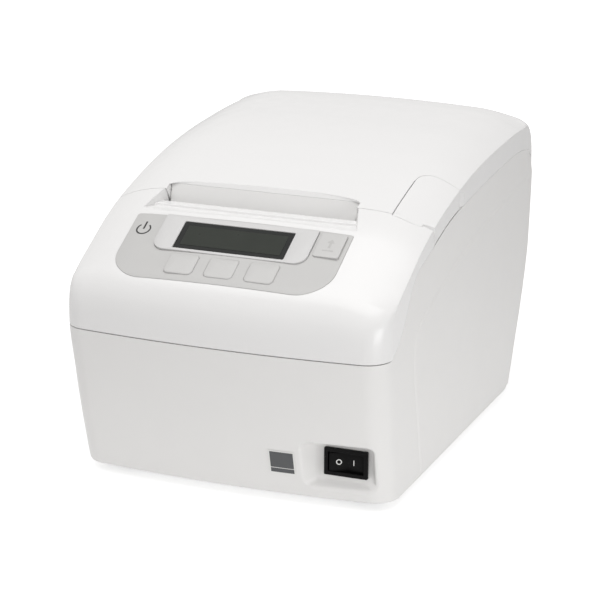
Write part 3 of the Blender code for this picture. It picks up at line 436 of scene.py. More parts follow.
def new_material(name, colour, roughness, metallic=0.0, **more):
    """Principled material with colour, roughness and fine surface variation.

    blotch, smudge and grain are the scales of the noise in colour, roughness and
    relief; shift, vary, bump and depth say how strong it is. stretch draws the noise
    out along an axis and edge is the radius that sharp edges are shaded with.
    """
    mat = bpy.data.materials.new(name)
    mat.use_nodes = True
    tree = mat.node_tree
    shader = tree.nodes["Principled BSDF"]
    shader.inputs["Metallic"].default_value = metallic
    shader.inputs["Coat Weight"].default_value = more.get("coat", 0.0)
    shader.inputs["Coat Roughness"].default_value = more.get("coat_roughness", 0.05)
    shader.inputs["IOR"].default_value = more.get("ior", 1.5)
    coords = tree.nodes.new("ShaderNodeTexCoord").outputs["Object"]
    stretch = more.get("stretch")

    def noise(scale, detail):
        source = coords
        if stretch:
            scaled = tree.nodes.new("ShaderNodeMapping")
            scaled.inputs["Scale"].default_value = stretch
            tree.links.new(coords, scaled.inputs["Vector"])
            source = scaled.outputs[0]
        node = tree.nodes.new("ShaderNodeTexNoise")
        node.inputs["Scale"].default_value = scale
        node.inputs["Detail"].default_value = detail
        tree.links.new(source, node.inputs["Vector"])
        return node.outputs["Fac"]

    shift = more.get("shift", 0.02)
    darker = (*[c * (1 - shift) for c in colour], 1)
    lighter = (*[min(1, c * (1 + shift)) for c in colour], 1)
    tree.links.new(mix_colours(tree, noise(more.get("blotch", 60), 3), darker, lighter),
                   shader.inputs["Base Color"])
    vary = more.get("vary", 0.03)
    tree.links.new(map_range(tree, noise(more.get("smudge", 140), 4), 0.3, 0.7,
                             max(0.02, roughness - vary), roughness + vary),
                   shader.inputs["Roughness"])
    bump = tree.nodes.new("ShaderNodeBump")
    bump.inputs["Strength"].default_value = more.get("bump", 0.15)
    bump.inputs["Distance"].default_value = more.get("depth", 0.05) * MM
    tree.links.new(noise(more.get("grain", 2500), 3), bump.inputs["Height"])
    edge = more.get("edge", 0.25)
    if edge:
        bevel = tree.nodes.new("ShaderNodeBevel")
        bevel.samples = 6
        bevel.inputs["Radius"].default_value = edge * MM
        tree.links.new(bevel.outputs["Normal"], bump.inputs["Normal"])
    tree.links.new(bump.outputs["Normal"], shader.inputs["Normal"])
    return mat


def make_materials():
    return {
        "gloss_white": new_material(
            "cover_gloss", (0.84, 0.835, 0.83), 0.24, grain=1400, bump=0.05, depth=0.02,
            coat=0.05, coat_roughness=0.08, shift=0.006, edge=0.35, ior=1.45),
        "satin_white": new_material(
            "case_satin", (0.82, 0.812, 0.80), 0.42, grain=5200, bump=0.28, depth=0.03,
            shift=0.01, vary=0.04, edge=0.4),
        "panel_grey": new_material(
            "panel_film", (0.55, 0.545, 0.535), 0.42, grain=6000, bump=0.2, depth=0.02,
            shift=0.012),
        "key_grey": new_material(
            "key_plastic", (0.57, 0.565, 0.555), 0.38, grain=5200, bump=0.2, depth=0.02,
            shift=0.012, edge=0),
        "silver_grey": new_material(
            "bezel_plastic", (0.62, 0.615, 0.61), 0.33, grain=4000, bump=0.12, depth=0.02,
            shift=0.01),
        "display_black": new_material(
            "display_glass", (0.008, 0.009, 0.008), 0.12, grain=900, bump=0.03, depth=0.01,
            ior=1.2, shift=0.15),
        "guide_grey": new_material(
            "guide_plastic", (0.78, 0.775, 0.765), 0.45, grain=4500, bump=0.25, depth=0.03,
            shift=0.015),
        "black": new_material(
            "black_plastic", (0.008, 0.008, 0.008), 0.5, ior=1.18, grain=4200, bump=0.25,
            depth=0.03, shift=0.1),
        "rocker_black": new_material(
            "rocker_plastic", (0.008, 0.008, 0.008), 0.4, ior=1.18, grain=3600, bump=0.12,
            depth=0.02, shift=0.1),
        "dark_grey": new_material(
            "inner_plastic", (0.085, 0.085, 0.09), 0.5, grain=3600, bump=0.3, depth=0.04,
            shift=0.08),
        "board": new_material(
            "board_mask", (0.02, 0.16, 0.07), 0.36, grain=900, bump=0.2, depth=0.03,
            shift=0.2, blotch=220),
        "steel": new_material(
            "machined_steel", (0.55, 0.56, 0.57), 0.26, 1.0, grain=1200, bump=0.12,
            depth=0.01, stretch=(8, 1, 1), shift=0.08, vary=0.07),
        "zinc": new_material(
            "zinc_sheet", (0.58, 0.59, 0.60), 0.36, 1.0, grain=800, bump=0.1, depth=0.02,
            blotch=300, shift=0.12, vary=0.08),
        "rubber": new_material(
            "rubber_black", (0.03, 0.03, 0.03), 0.8, grain=3000, bump=0.4, depth=0.05,
            shift=0.15),
        "gear_white": new_material(
            "acetal", (0.80, 0.79, 0.74), 0.42, grain=2600, bump=0.12, depth=0.02),
        "ceramic": new_material(
            "head_ceramic", (0.72, 0.68, 0.58), 0.24, grain=2600, bump=0.06, depth=0.01,
            coat=0.4),
        "aluminium": new_material(
            "extruded_aluminium", (0.62, 0.63, 0.65), 0.33, 1.0, grain=900,
            stretch=(0.2, 5, 5), bump=0.16, depth=0.02, shift=0.06),
        "label": new_material(
            "label_film", (0.085, 0.088, 0.092), 0.36, grain=2600, bump=0.1, depth=0.01,
            shift=0.1),
        "card": new_material(
            "card_tube", (0.47, 0.35, 0.23), 0.85, grain=1500, bump=0.5, depth=0.06,
            blotch=260, shift=0.12, stretch=(1, 1, 3)),
        "print_white": new_material(
            "print_white", (0.82, 0.82, 0.80), 0.5, grain=3000, bump=0.05, depth=0.01,
            edge=0),
        "print_black": new_material(
            "print_black", (0.02, 0.02, 0.02), 0.5, grain=3000, bump=0.05, depth=0.01,
            shift=0.05, edge=0),
        "print_pale": new_material(
            "print_pale", (0.50, 0.495, 0.485), 0.45, grain=3000, bump=0.05, depth=0.01,
            edge=0),
        "label_pale": new_material(
            "label_pale", (0.42, 0.43, 0.43), 0.4, grain=2600, bump=0.05, depth=0.01,
            edge=0),
        "screen": new_material(
            "display_cell", (0.030, 0.034, 0.028), 0.3, grain=1500, bump=0.02, depth=0.01,
            ior=1.2, shift=0.12, blotch=90),
    }


def paper_material():
    """Paper whose roll ends show their wound layers."""
    mat = new_material("roll_paper", (0.86, 0.86, 0.84), 0.75, grain=1800, bump=0.3,
                       depth=0.03, shift=0.015, edge=0.4)
    tree = mat.node_tree
    coords = tree.nodes.new("ShaderNodeTexCoord").outputs["Object"]
    centred = tree.nodes.new("ShaderNodeMapping")
    centred.inputs["Location"].default_value = (0, -ROLL_Y * MM, -ROLL_Z * MM)
    tree.links.new(coords, centred.inputs["Vector"])
    wave = tree.nodes.new("ShaderNodeTexWave")
    wave.wave_type, wave.rings_direction = "RINGS", "X"
    wave.inputs["Scale"].default_value = 520
    wave.inputs["Distortion"].default_value = 0.6
    tree.links.new(centred.outputs[0], wave.inputs["Vector"])
    layers = mix_colours(tree, wave.outputs["Fac"], (0.80, 0.80, 0.78, 1),
                         (0.90, 0.90, 0.88, 1))
    tree.links.new(layers, tree.nodes["Principled BSDF"].inputs["Base Color"])
    return mat


LOOK = make_materials()
LOOK["paper"] = paper_material()


def place(ob, body, look, nodes=(), smooth=30):
    """Finish one piece: shading, material, body, slot and the CAD nodes it stands for."""
    if smooth:
        shade(ob, smooth)
    ob.data.materials.clear()
    ob.data.materials.append(LOOK[look])
    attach(ob, body)
    if nodes:
        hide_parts(*nodes)
    return ob


# --------------------------------------------------------------- outer covers

def barrel_arc(radius, start, end, count=16):
    return circle(HINGE_Y, HINGE_Z, radius, count, start, end - start)


def parting(z, shift):
    """How far back the joint between front and paper cover lies at height z."""
    return -46.6 + 0.42 * (118 - z) + shift


ARCH_FINE = [tuple(p) for p in spline(ARCH, 1.6)]


def arch_line(lift):
    """Upper edge of the side walls, raised by the lift."""
    return [(y, z + lift) for y, z in ARCH_FINE]


def notch_left(y, z):
    """Left end of the receipt notch, which widens to the front and upwards."""
    return -48.0 + 0.406 * (y + 46) - 0.2 * (z - 112.2)


def notch_right(y, z):
    return 2 * PAPER_X - notch_left(y, z)


def slot_left(y, z, grow=0.0):
    """Left end of the paper slot in the lid, which widens upwards."""
    return -47.3 - 0.15 * (z - 111.2) - grow


def slot_right(y, z, grow=0.0):
    return 2 * PAPER_X - slot_left(y, z, grow)


def lever_outline(grow):
    """Lever seen from above, carried on past its front and its outer side."""
    left, back, r, front, outside = 55.6 - grow, -8.8 + grow, 8.0 + grow, -60.0, 80.0
    return [(outside, front), (left, front)] + \
        circle(left + r, back - r, r, 16, 180, -90) + [(outside, back)]


def panel_outline(grow=0.0):
    return rounded(-49.2 - grow, 49.6 + grow, -3.4 - grow, 34.6 + grow,
                   (1.2, 1.2, 15 + grow, 15 + grow), 14)


def key_outline(index, grow=0.0):
    """Hole for a key; the last index is the feed key."""
    if index < len(KEY_U):
        u, w, d = KEY_U[index], KEY_HALF_WIDTH + grow, KEY_HALF_DEPTH + grow
        return rounded(u - w, u + w, KEY_S - d, KEY_S + d, (1.2, 1.2, 2.2, 2.2), 6)
    u0, u1, s0, s1 = FEED_KEY
    return rounded(u0 - grow, u1 + grow, s0 - grow, s1 + grow, (1,) * 4, 4)


def bezel_outline(grow=0.0):
    return rounded(-34.6 - grow, 34.8 + grow, -2.9 - grow, 18.0 + grow,
                   (0.8, 0.8, 5.5 + grow, 5.5 + grow), 8)


def recess():
    """Sunken bay for the power switch: rounded rim, leaning walls, flat floor."""
    tree = GUIDE[0]

    def on_case(x, z):
        hit = tree.ray_cast(Vector((x * MM, -0.2, z * MM)), Vector((0, 1, 0)))[0]
        return Vector((x, hit.y / MM, z))

    def mouth(grow):
        return rounded(34.4 - grow, 66.0 + grow, 9.0 - grow, 30.3 + grow,
                       (3.2 + grow,) * 4, 8)

    def bend(a, b, c, steps):
        """Points of a curve from a to c that leaves and arrives towards b."""
        return [a * (1 - t) ** 2 + b * 2 * t * (1 - t) + c * t * t
                for t in np.linspace(0, 1, steps)]

    floor = rounded(38.8, 63.8, 11.4, 29.3, (1.8,) * 4, 8)
    middle = rounded(39.9, 62.7, 12.5, 28.2, (1.0,) * 4, 8)
    columns = []
    for far, rim, edge, low, mid in zip(mouth(1.8), mouth(1.2), mouth(0.0), floor, middle):
        rim, edge = on_case(*rim), on_case(*edge)
        low, mid = Vector((low[0], SWITCH_Y, low[1])), Vector((mid[0], SWITCH_Y, mid[1]))
        far = on_case(*far) - Vector((0, 0.4, 0))
        wall = low - edge
        upper = edge + wall * min(0.5, 1.2 / wall.length)
        lower = low - wall * min(0.4, 1.2 / wall.length)
        columns.append([far] + bend(rim, edge, upper, 6) + bend(lower, low, mid, 5))
    n, rows = len(columns), len(columns[0])
    verts = [tuple(col[r]) for r in range(rows) for col in columns]
    faces = [[r * n + i, r * n + (i + 1) % n,
              (r + 1) * n + (i + 1) % n, (r + 1) * n + i]
             for r in range(rows - 1) for i in range(n)]
    faces.append([(rows - 1) * n + i for i in range(n)])
    # Close it in front with a fan, clear of the case
    verts.append((50, -108, 20))
    faces += [[(i + 1) % n, i, rows * n] for i in range(n)]
    return solid("recess", verts, faces)


def side_field(side):
    """Solid that trims the raised field of one side, with a sloping rim.

    Both its ends follow the lean of the wall, one inside it and one outside.
    """
    line = [tuple(p) for p in spline(FIELD_LINE, 2.5)]
    rim = []             # each point of the edge with the direction into the field
    for i, (y, z) in enumerate(line):
        a, b = line[max(i - 2, 0)], line[min(i + 2, len(line) - 1)]
        size = math.hypot(b[0] - a[0], b[1] - a[1])
        rim.append((y, z, (b[1] - a[1]) / size, (a[0] - b[0]) / size))
    rim.append((120, 4.6, 0.0, 0.0))

    def at(height):
        def corner(y, z, ny, nz):
            y, z = y + ny * RIM_RUN * height, z + nz * RIM_RUN * height
            lean = DRAFT * max(0.0, SEAM_Z - z) / (SEAM_Z - BASE_Z)
            return (side * (HALF_WIDTH + height - lean), y, z)
        return corner

    return extrude("field", rim, at(-1.2), at(1.6))


def shell(name):
    """The whole outside as a hollow wall."""
    return cut(envelope(name), envelope("inside", WALL, fine=False))


def lower_case():
    """Front, sides and back, with hinge posts, switch recess and raised side fields."""
    ob = shell("case_shell")
    top = [(-130, -10), (-130, SEAM_Z - 0.2), (-96, SEAM_Z - 0.2)] + arch_line(-0.015)
    top += barrel_arc(BARREL + 0.4, 205, 270) + [(130, HINGE_Z - BARREL - 0.4), (130, -10)]
    keep(ob, along_x("region", top, -90, 90))
    # The wall is thicker around the switch
    join(ob, keep(envelope("fill"), box("b", 28, 69.2, -100, -86.4, 4.6, 35.0)))
    for side in (-1, 1):
        x0, x1 = sorted(side * x for x in KNUCKLE)
        post = along_x("post", [(95.4, 100), (104.6, 100), (104.6, 109.8), (99.6, 109.8),
                                (99.6, HINGE_Z), (95.4, HINGE_Z)], x0, x1)
        join(post, along_x("knuckle", circle(HINGE_Y, HINGE_Z, 4.9, 40), x0, x1))
        join(ob, post)
    cut(ob, along_x("rod_hole", circle(HINGE_Y, HINGE_Z, 1.86, 24), -58, 58))
    cut(ob, recess())
    cut(ob, box("switch_hole", SWITCH_X - 9.0, SWITCH_X + 9.0, -95, -80,
                SWITCH_Z - 5.3, SWITCH_Z + 5.3))
    cut(ob, box("bottom", -64.0, 64.0, -84.0, 73.0, 0, 7))
    cut(ob, box("sockets", -52.5, 52.5, 68, 100, 8.0, 25.8))
    for side in (-1, 1):
        join(ob, keep(envelope("raised", -FIELD), side_field(side)))
    smooth_outside(ob, (0.0, FIELD))
    return place(ob, "case", "satin_white", ["lower_case"], smooth=0)


def nose(x0, x1, grow=0.0):
    """Front edge of the lever: a cone about its pivot, thinner to the right."""
    def at(x):
        r = 3.9 - 0.23 * (x - 55.4) + grow
        return lambda a, b: (x, LEVER_Y + a * r, LEVER_Z + b * r)
    return extrude("nose", circle(0, 0, 1, 64), at(x0), at(x1))


def front_cover():
    """Glossy cover of the front third, with receipt notch, panel bed and lever hollow."""
    ob = shell("front_shell")
    # The wall is thicker under the notch
    join(ob, keep(envelope("fill"), box("b", -60, 51, -66, -45.7, 110.0, 130)))
    region = [(-130, SEAM_Z + 0.2), (-96, SEAM_Z + 0.2)]
    region += [p for p in arch_line(0.015) if p[0] < -42]
    region += [(parting(JOINT_Z, -GAP / 2), JOINT_Z), (parting(140, -GAP / 2), 140),
               (-130, 140)]
    keep(ob, along_x("region", region, -90, 90))
    # Section of the notch: rounded front step, floor, groove and the ledge behind it
    floor = [(-61.9, 135), (-61.9, 112.5)] + circle(-61.5, 112.5, 0.4, 4, 180, 90) + \
        [(-58.5, 112.1), (-58.2, 111.7), (-53.6, 111.7)] + \
        [(-53.2, 112.3)] + circle(-52.8, 112.3, 0.4, 4, 180, -90) + \
        [(-48.4, 112.7), (-48.4, 100), (-30, 100), (-30, 135)]
    cut(ob, along_x("notch", floor, notch_left, notch_right))
    cut(ob, box("gap", -47.9, 38.9, -48.4, -30, 95, 112.5))
    cut(ob, cut(along_panel("bed", panel_outline(0.06), -6, 8),
                envelope("bed_floor", 1.15)))
    cut(ob, along_panel("window", rounded(-28.6, 28.6, -0.6, 17.2, (1,) * 4, 2), -9, 5))
    for i in range(len(KEY_U) + 1):
        cut(ob, along_panel("key_hole", key_outline(i, 0.35), -9, 5))
    # Room for the lever's nose, for what it covers and for its bracket
    cut(ob, nose(55.42, 68.3, 0.07))
    cut(ob, box("behind", 55.42, 68.3, LEVER_Y, -30, 106, 130))
    cut(ob, along_x("bracket_room", circle(LEVER_Y, LEVER_Z, 2.5, 20), 51.2, 55.6))
    smooth_outside(ob)
    return place(ob, "case", "gloss_white", ["front_cover"], smooth=0)


def paper_cover():
    """Domed lid with the paper slot, and cut-outs for the lever and the hinge."""
    ob = shell("lid_shell")
    for x0, x1 in ((-60, -46.5), (37.5, 51)):
        join(ob, keep(envelope("fill"), box("b", x0, x1, -50, -42.4, 109.0, 130)))
    region = [(parting(140, 0), 140), (parting(JOINT_Z, 0), JOINT_Z)]
    region += [p for p in arch_line(0.015) if p[0] > -39.3]
    region += barrel_arc(BARREL, 206, 360) + [(130, HINGE_Z), (130, 160), (-50, 160)]
    keep(ob, along_x("region", region, -90, 90))
    # Paper slot: its upper wall leans back and is bowed, the room below takes the guide
    upper = [(-70, 123), (-38.7, 123), (-41.05, 118.8), (-70, 118.8)]
    lower = [(-70, 118.82), (-39.1, 118.82), (-42.9, 111.2), (-70, 111.2)]
    slot, room = (along_x("slot", outline, lambda y, z: slot_left(y, z, GAP),
                          lambda y, z: slot_right(y, z, GAP)) for outline in (upper, lower))
    bow = [(PAPER_X + u, -39.7 - 1.6 * abs(u / 44.2) ** 3 - 1.6 * abs(u / 44.2) ** 24)
           for u in np.linspace(-44.4, 44.4, 61)]
    keep(slot, along_z("plan", [(-48.9, -80)] + bow + [(39.9, -80)], 90, 150))
    cut(ob, slot, room)
    cut(ob, box("throat", -47.6, 38.6, -70, -41.6, 95, 111.5))
    # Corner that the lever fills, with a finger hollow behind it
    cut(ob, along_z("lever_room", lever_outline(0.16), 90, 150))
    cut(ob, box("lever_side", 55.18, 55.7, -60, -18, 90, 150))
    cut(ob, along_x("finger", [(-8.8, 109), (-8.8, 118.5), (-2.8, 117.2), (-2.8, 109)],
                    lambda y, z: 70.9 + (y + 8.8) * 0.26, 90))
    cut(ob, along_x("bracket_room", circle(LEVER_Y, LEVER_Z, 2.5, 20), 51.2, 55.6))
    cut(ob, along_x("hub_room", circle(HINGE_Y, HINGE_Z, 3.2, 24), -46, 37))
    for side in (-1, 1):
        x0, x1 = sorted((side * (KNUCKLE[0] - 0.4), side * (KNUCKLE[1] + 0.4)))
        room = box("room", x0, x1, 94.0, 130, 90, HINGE_Z)
        join(room, along_x("round", circle(HINGE_Y, HINGE_Z, 5.7, 32), x0, x1))
        cut(ob, room)
    smooth_outside(ob)
    return place(ob, "lid", "gloss_white", ["paper_cover"], smooth=0)


def open_lever():
    """Lever in the lid's corner, on a hub under its front edge."""
    ob = shell("lever_shell")
    lower = [(parting(JOINT_Z, GAP), JOINT_Z + GAP)]
    lower += [p for p in arch_line(0.7) if -39 < p[0] < 0] + [(0, 150)]
    region = along_x("region", lower + [(LEVER_Y, 150), (LEVER_Y, 111.0)], 40, 68.1)
    join(region, nose(40, 68.1))
    edge = parting(111.8, GAP)
    join(region, along_x("right", lower + [(edge, 150), (edge, 111.8)], 68.0, 90))
    keep(ob, region)
    keep(ob, along_z("plan", lever_outline(0.0), 90, 150))
    cut(ob, along_z("wedge", [(68.1, -60), (68.1, edge + 0.1), (80, edge + 6.4), (80, -60)],
                    90, 150))
    hub = along_x("hub", circle(LEVER_Y, LEVER_Z, 2.3, 20), 56.2, 61.6)
    web = along_x("web", [(LEVER_Y - 1.5, LEVER_Z), (LEVER_Y + 1.5, LEVER_Z),
                          (LEVER_Y + 3.5, 115.6), (LEVER_Y + 0.5, 115.2)], 56.2, 61.6)
    join(ob, hub, web)
    cut(ob, along_x("bore", circle(LEVER_Y, LEVER_Z, 1.26, 20), 50, 63.5))
    smooth_outside(ob)
    return place(ob, "lever", "gloss_white", ["open_lever"], smooth=0)


# ---------------------------------------------------------------- small pieces

def pillow(name, outline_at, height, floor, rise, rim):
    """Key with rounded rim and a gently crowned top, from rings of its own outline."""
    verts, faces = [], []
    rings = [(0.0, floor)]
    for a in np.radians(np.arange(0, 91, 15)):
        rings.append((-rim * (1 - math.cos(a)), height - rim * (1 - math.sin(a)) * 0.8))
    for k in range(1, 5):
        rings.append((-rim - k * 0.8, height + rise * (1 - (1 - k / 4.5) ** 2)))
    count = len(outline_at(0.0))
    for grow, h in rings:
        verts += [on_panel(u, s, h) for u, s in outline_at(grow)]
    for r in range(len(rings) - 1):
        for i in range(count):
            j = (i + 1) % count
            faces.append([r * count + i, r * count + j,
                          (r + 1) * count + j, (r + 1) * count + i])
    faces.append(list(range(count))[::-1])
    faces.append([(len(rings) - 1) * count + i for i in range(count)])
    return solid(name, verts, faces)


def shrunk_key(index):
    """Outline of a key cap that can shrink and keeps its point count."""
    def outline(grow):
        if index < len(KEY_U):
            u, w, d = KEY_U[index], KEY_HALF_WIDTH + grow, KEY_HALF_DEPTH + grow
            r = (max(1.2 + grow * 0.2, 0.4),) * 2 + (max(2.2 + grow * 0.4, 0.5),) * 2
            return rounded(u - w, u + w, KEY_S - d, KEY_S + d, r, 6)
        r = (max(1.0 + grow * 0.2, 0.3),) * 4
        u0, u1, s0, s1 = FEED_KEY
        return rounded(u0 - grow, u1 + grow, s0 - grow, s1 + grow, r, 5)
    return outline


def panel_parts():
    """Panel film, display with its frame, key caps and what is printed on them."""
    overlay = along_panel("panel_film", panel_outline(0.0), -6, 8)
    keep(overlay, envelope("above", -FILM_HEIGHT))
    cut(overlay, envelope("below", 0.9))
    cut(overlay, along_panel("hole", bezel_outline(0.1), -9, 9))
    for i in range(len(KEY_U) + 1):
        cut(overlay, along_panel("key_hole", key_outline(i, 0.06), -9, 9))
    smooth_outside(overlay, (FILM_HEIGHT,))
    place(overlay, "case", "panel_grey", ["panel_overlay"], smooth=0)

    bezel = along_panel("display_frame", bezel_outline(), -0.75, 0.4)
    cut(bezel, along_panel("view", rounded(-25.1, 25.2, 0.2, 16.6, (0.5,) * 4, 3), -3, 3))
    soften(bezel, 0.3)
    place(bezel, "case", "silver_grey", ["lcd_bezel"])

    glass = along_panel("display_glass", rounded(-24.9, 25.0, 0.4, 16.4, (0.4,) * 4, 3),
                        -2.0, 0.1)
    join(glass, along_panel("frame", rounded(-27.8, 27.8, 0.1, 16.7, (0.5,) * 4, 2),
                            -6.2, -1.6))
    place(glass, "case", "display_black", ["lcd_module"])
    cell = along_panel("display_cell", rounded(-22.6, 22.8, 2.4, 14.2, (0.3,) * 4, 2),
                       0.1, 0.16)
    place(cell, "case", "screen")

    keys = (("key_cap_left", "key_left", "menu_key_left"),
            ("key_cap_middle", "key_middle", "menu_key_middle"),
            ("key_cap_right", "key_right", "menu_key_right"),
            ("key_cap_feed", "key_feed", "feed_key"))
    for i, (name, body, node) in enumerate(keys):
        height, rise, rim = (0.5, 0.25, 0.6) if i < len(KEY_U) else (0.14, 0.08, 0.2)
        cap = pillow(name, shrunk_key(i), height, -4.6, rise, rim)
        place(cap, body, "key_grey", [node], smooth=50)

    # Power symbol printed on the film, and a faint paper feed arrow on the feed key
    ring = circle(-42.8, 6.2, 3.4, 40, -50, 280) + circle(-42.8, 6.2, 2.7, 40, 230, -280)
    stem = [(-43.2, 1.7), (-42.4, 1.7), (-42.4, 6.3), (-43.2, 6.3)]
    for k, outline in enumerate((ring, stem)):
        mark = along_panel(f"power_mark_{k}", outline, -4, 4)
        keep(mark, envelope("above", -0.15))
        cut(mark, envelope("below", -0.1))
        place(mark, "case", "print_black")
    arrow = [(42, 1.6), (43.6, 3.6), (42.5, 3.6), (42.5, 6.6), (41.5, 6.6), (41.5, 3.6),
             (40.4, 3.6)]
    line = [(39.6, 8.0), (44.4, 8.0), (44.4, 8.5), (39.6, 8.5)]
    for name, outline in (("feed_mark", arrow), ("feed_line", line)):
        place(along_panel(name, outline, 0.15, 0.28), "key_feed", "print_pale")


def switch_parts():
    """Power switch, its printed marks and the sticker beside it."""
    x, z = SWITCH_X, SWITCH_Z
    ob = along_y("switch_frame",
                 rounded(x - 9.6, x + 9.6, z - 6.0, z + 6.0, (0.35,) * 4, 3),
                 SWITCH_Y - 1.9, SWITCH_Y - 0.3)
    cut(ob, box("well", x - 7.9, x + 7.9, SWITCH_Y - 5, SWITCH_Y + 2, z - 4.3, z + 4.3))
    soften(ob, 0.15)
    join(ob, cut(box("body", x - 8.7, x + 8.7, SWITCH_Y - 1.0, -77.5, z - 5.0, z + 5.0),
                 box("well", x - 7.9, x + 7.9, SWITCH_Y - 5, -82.5, z - 4.3, z + 4.3)))
    for px in (-5, 5):
        join(ob, box("tab", x + px - 0.4, x + px + 0.4, -78, -71.5, z - 2.4, z + 2.4))
    place(ob, "case", "black", ["switch_housing"])

    tip, pivot_y = math.radians(7), SWITCH_Y + 1.0

    def turned(u, v):
        """Point of the tipped rocker: u along it, v into the switch."""
        return (x + u * math.cos(tip) - v * math.sin(tip),
                pivot_y + u * math.sin(tip) + v * math.cos(tip))

    def dish(u):
        """Face of the rocker: a shallow hollow between its raised ends."""
        return -2.25 + 1.35 * (1 - min(abs(u), 6.5) / 6.5) ** 1.2

    face = [(-7.5, -2.2)] + [(u, dish(u)) for u in np.linspace(-6.5, 6.5, 19)]
    face += [(7.5, -2.2), (7.5, 0.6), (2.2, 3.4), (-2.2, 3.4), (-7.5, 0.6)]
    rocker = along_z("rocker_cap", [turned(*p) for p in face], z - 4.0, z + 4.0)
    soften(rocker, 0.25, 2, 50)
    place(rocker, "rocker", "rocker_black", ["switch_rocker"])

    marks = {"mark_off": (-3.4, circle(0, 0, 1.2, 28, 0, 359.0) +
                          circle(0, 0, 0.82, 28, 359.0, -359.0)),
             "mark_on": (2.9, [(-0.18, -1.2), (0.18, -1.2), (0.18, 1.2), (-0.18, 1.2)])}
    for name, (u0, outline) in marks.items():
        def at(u, w, lift, u0=u0):
            return (*turned(u0 + u, dish(u0 + u) - lift), z + w)
        mark = extrude(name, outline, lambda u, w: at(u, w, -0.1),
                       lambda u, w: at(u, w, 0.06))
        place(mark, "rocker", "print_white")

    def film(name, lift, x0, x1, z0, z1, look, nodes=()):
        """Patch of film on the case front, standing the given height proud of it."""
        patch = keep(cut(envelope(name, -lift), envelope("inner", -lift + 0.15)),
                     box("b", x0, x1, -110, -85, z0, z1))
        place(patch, "case", look, nodes)

    film("sticker", 0.3, 20.3, 31.6, 13.8, 24.6, "print_white", ["rating_label"])
    film("sticker_field", 0.34, 20.8, 31.1, 16.6, 24.1, "label")
    film("sticker_band", 0.34, 20.8, 31.1, 14.3, 16.3, "label")


def turned_ring(name, x0, x1, cy, cz, outer, inner, edge=0.3):
    """Tube along X with rounded rims."""
    count = 128
    section = [(x0, inner), (x0, outer - edge)]
    for a in (30, 60, 90):
        section.append((x0 + edge - edge * math.cos(math.radians(a)),
                        outer - edge + edge * math.sin(math.radians(a))))
    for a in (60, 30, 0):
        section.append((x1 - edge + edge * math.cos(math.radians(a)),
                        outer - edge + edge * math.sin(math.radians(a))))
    section += [(x1, inner)]
    n = len(section)
    verts, faces = [], []
    for i in range(count):
        a = 2 * math.pi * i / count
        verts += [(x, cy + r * math.cos(a), cz + r * math.sin(a)) for x, r in section]
    for i in range(count):
        j = (i + 1) % count
        for k in range(n):
            m = (k + 1) % n
            faces.append([i * n + k, i * n + m, j * n + m, j * n + k])
    return solid(name, verts, faces)


def other_parts():
    """Paper roll, platen, feet and the wall of the paper slot."""
    half_roll, half_platen = 39.75, 40.8
    x0, x1 = PAPER_X - half_roll, PAPER_X + half_roll
    place(turned_ring("wound_paper", x0, x1, ROLL_Y, ROLL_Z, 40.0, 8.8),
          "roll", "paper", ["paper_roll"])
    place(turned_ring("card_core", x0, x1, ROLL_Y, ROLL_Z, 8.6, 6.4, 0.15),
          "roll", "card", ["roll_core"])
    place(turned_ring("platen_sleeve", PAPER_X - half_platen, PAPER_X + half_platen,
                      PLATEN_Y, PLATEN_Z, 6.0, 2.56, 0.4),
          "platen", "rubber", ["platen_rubber"])
    for name, x, y in (("foot_front_left", -54, -74), ("foot_front_right", 54, -74),
                       ("foot_rear_left", -54, 64), ("foot_rear_right", 54, 64)):
        pad = along_z(name.replace("foot", "pad"), circle(x, y, 6.5, 64), 0, 2.7)
        cut(pad, along_z("dish", circle(x, y, 4.6, 48), -1, 0.35))
        soften(pad, 0.3)
        place(pad, "case", "rubber", [name])

    leaning = [(-41.06, 118.8), (-45.4, 111.2), (-43.1, 111.2), (-39.3, 118.95),
               (-40.5, 118.95)]
    guide = along_x("slot_wall", leaning, slot_left, slot_right)
    join(guide, along_x("throat", [(-45.6, 111.6), (-45.6, 103.0), (-43.9, 103.0),
                                   (-43.2, 111.6)], -47.3, 38.3))
    place(guide, "lid", "guide_grey", ["exit_guide"], smooth=20)


def dress_cad():
    """Give every CAD node that still shows its procedural material."""
    slots = {row["node"]: row["material_slot"] for row in frame["record"]["subparts"]}
    for name, ob in frame["nodes"].items():
        look = LOOK[slots[name]]
        ob.data.materials.clear()
        ob.data.materials.append(look)


# ------------------------------------------------------------ light and camera

def by_camera(tree, thrown, seen):
    """Light strength: one for what the camera sees, one for what is thrown on the part."""
    node = tree.nodes.new("ShaderNodeMix")
    camera_ray = tree.nodes.new("ShaderNodeLightPath").outputs["Is Camera Ray"]
    tree.links.new(camera_ray, node.inputs[0])
    tree.links.new(thrown, node.inputs[2])
    if isinstance(seen, float):
        node.inputs[3].default_value = seen
    else:
        tree.links.new(seen, node.inputs[3])
    return node.outputs[0]


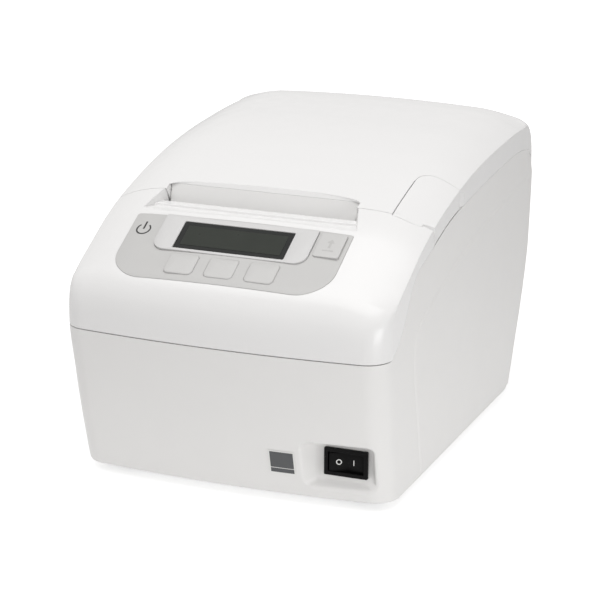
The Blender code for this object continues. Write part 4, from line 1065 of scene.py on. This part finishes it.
def stage():
    """Floor and backdrop that look white but light the part softly, and two lamps."""
    bpy.ops.mesh.primitive_plane_add(size=6, location=(0, 0, 0))
    floor = bpy.context.object
    floor.name = "floor"
    mat = bpy.data.materials.new("floor")
    mat.use_nodes = True
    tree = mat.node_tree
    shader = tree.nodes["Principled BSDF"]
    shader.inputs["Base Color"].default_value = (0.5, 0.5, 0.5, 1)
    shader.inputs["Roughness"].default_value = 0.6
    shader.inputs["Emission Color"].default_value = (1, 1, 1, 1)
    far = tree.nodes.new("ShaderNodeVectorMath")
    far.operation = "LENGTH"
    tree.links.new(tree.nodes.new("ShaderNodeTexCoord").outputs["Object"], far.inputs[0])
    far = far.outputs["Value"]
    # What the camera sees grows with distance, so that the floor stays evenly white;
    # what is thrown on the part fades with it
    thrown = map_range(tree, far, 0.1, 0.4, 0.44, 0.10)
    seen = map_range(tree, far, 0.2, 1.6, 0.64, 0.95)
    tree.links.new(by_camera(tree, thrown, seen), shader.inputs["Emission Strength"])
    floor.data.materials.append(mat)

    world = bpy.data.worlds.new("studio")
    bpy.context.scene.world = world
    world.use_nodes = True
    tree = world.node_tree
    background = tree.nodes["Background"]
    background.inputs["Color"].default_value = (1.0, 0.99, 0.985, 1)
    # The surroundings are dimmer on the right than on the left
    way = tree.nodes.new("ShaderNodeSeparateXYZ")
    tree.links.new(tree.nodes.new("ShaderNodeTexCoord").outputs["Generated"],
                   way.inputs[0])
    thrown = map_range(tree, way.outputs["X"], -0.2, 0.9, 0.66, 0.30)
    tree.links.new(by_camera(tree, thrown, 1.0), background.inputs["Strength"])

    def area(name, spot, aim, width, height, power):
        lamp = bpy.data.lights.new(name, "AREA")
        lamp.shape, lamp.size, lamp.size_y, lamp.energy = "RECTANGLE", width, height, power
        ob = bpy.data.objects.new(name, lamp)
        bpy.context.scene.collection.objects.link(ob)
        ob.location = spot
        way = Vector(aim) - Vector(spot)
        ob.rotation_euler = way.to_track_quat("-Z", "Y").to_euler()

    area("top", (-0.05, -0.17, 1.3), (-0.05, -0.03, 0.1), 1.4, 1.1, 9.7)
    area("low", (0.60, -0.38, 0.10), (0.07, -0.07, 0.02), 0.35, 0.25, 1.25)


def camera():
    """Camera solved from the photo's edges: 144 mm lens, in front on the right."""
    yaw, pitch, roll = math.radians(21.90), math.radians(17.19), math.radians(-0.16)
    right = Vector((math.cos(yaw), math.sin(yaw), 0))
    ahead = Vector((-math.sin(yaw) * math.cos(pitch), math.cos(yaw) * math.cos(pitch),
                    -math.sin(pitch)))
    up = right.cross(ahead)
    turn = Matrix.Rotation(roll, 3, ahead)
    right, up = turn @ right, turn @ up
    data = bpy.data.cameras.new("camera")
    data.lens, data.sensor_width = 144, 36
    data.clip_start, data.clip_end = 0.05, 20
    ob = bpy.data.objects.new("camera", data)
    bpy.context.scene.collection.objects.link(ob)
    matrix = Matrix((right, up, -ahead)).transposed().to_4x4()
    matrix.translation = (0.3811, -0.9599, 0.3789)
    ob.matrix_world = matrix
    bpy.context.scene.camera = ob


camera()
stage()
lower_case()
front_cover()
paper_cover()
open_lever()
panel_parts()
switch_parts()
other_parts()
dress_cad()
bpy.context.scene.view_settings.view_transform = "Standard"
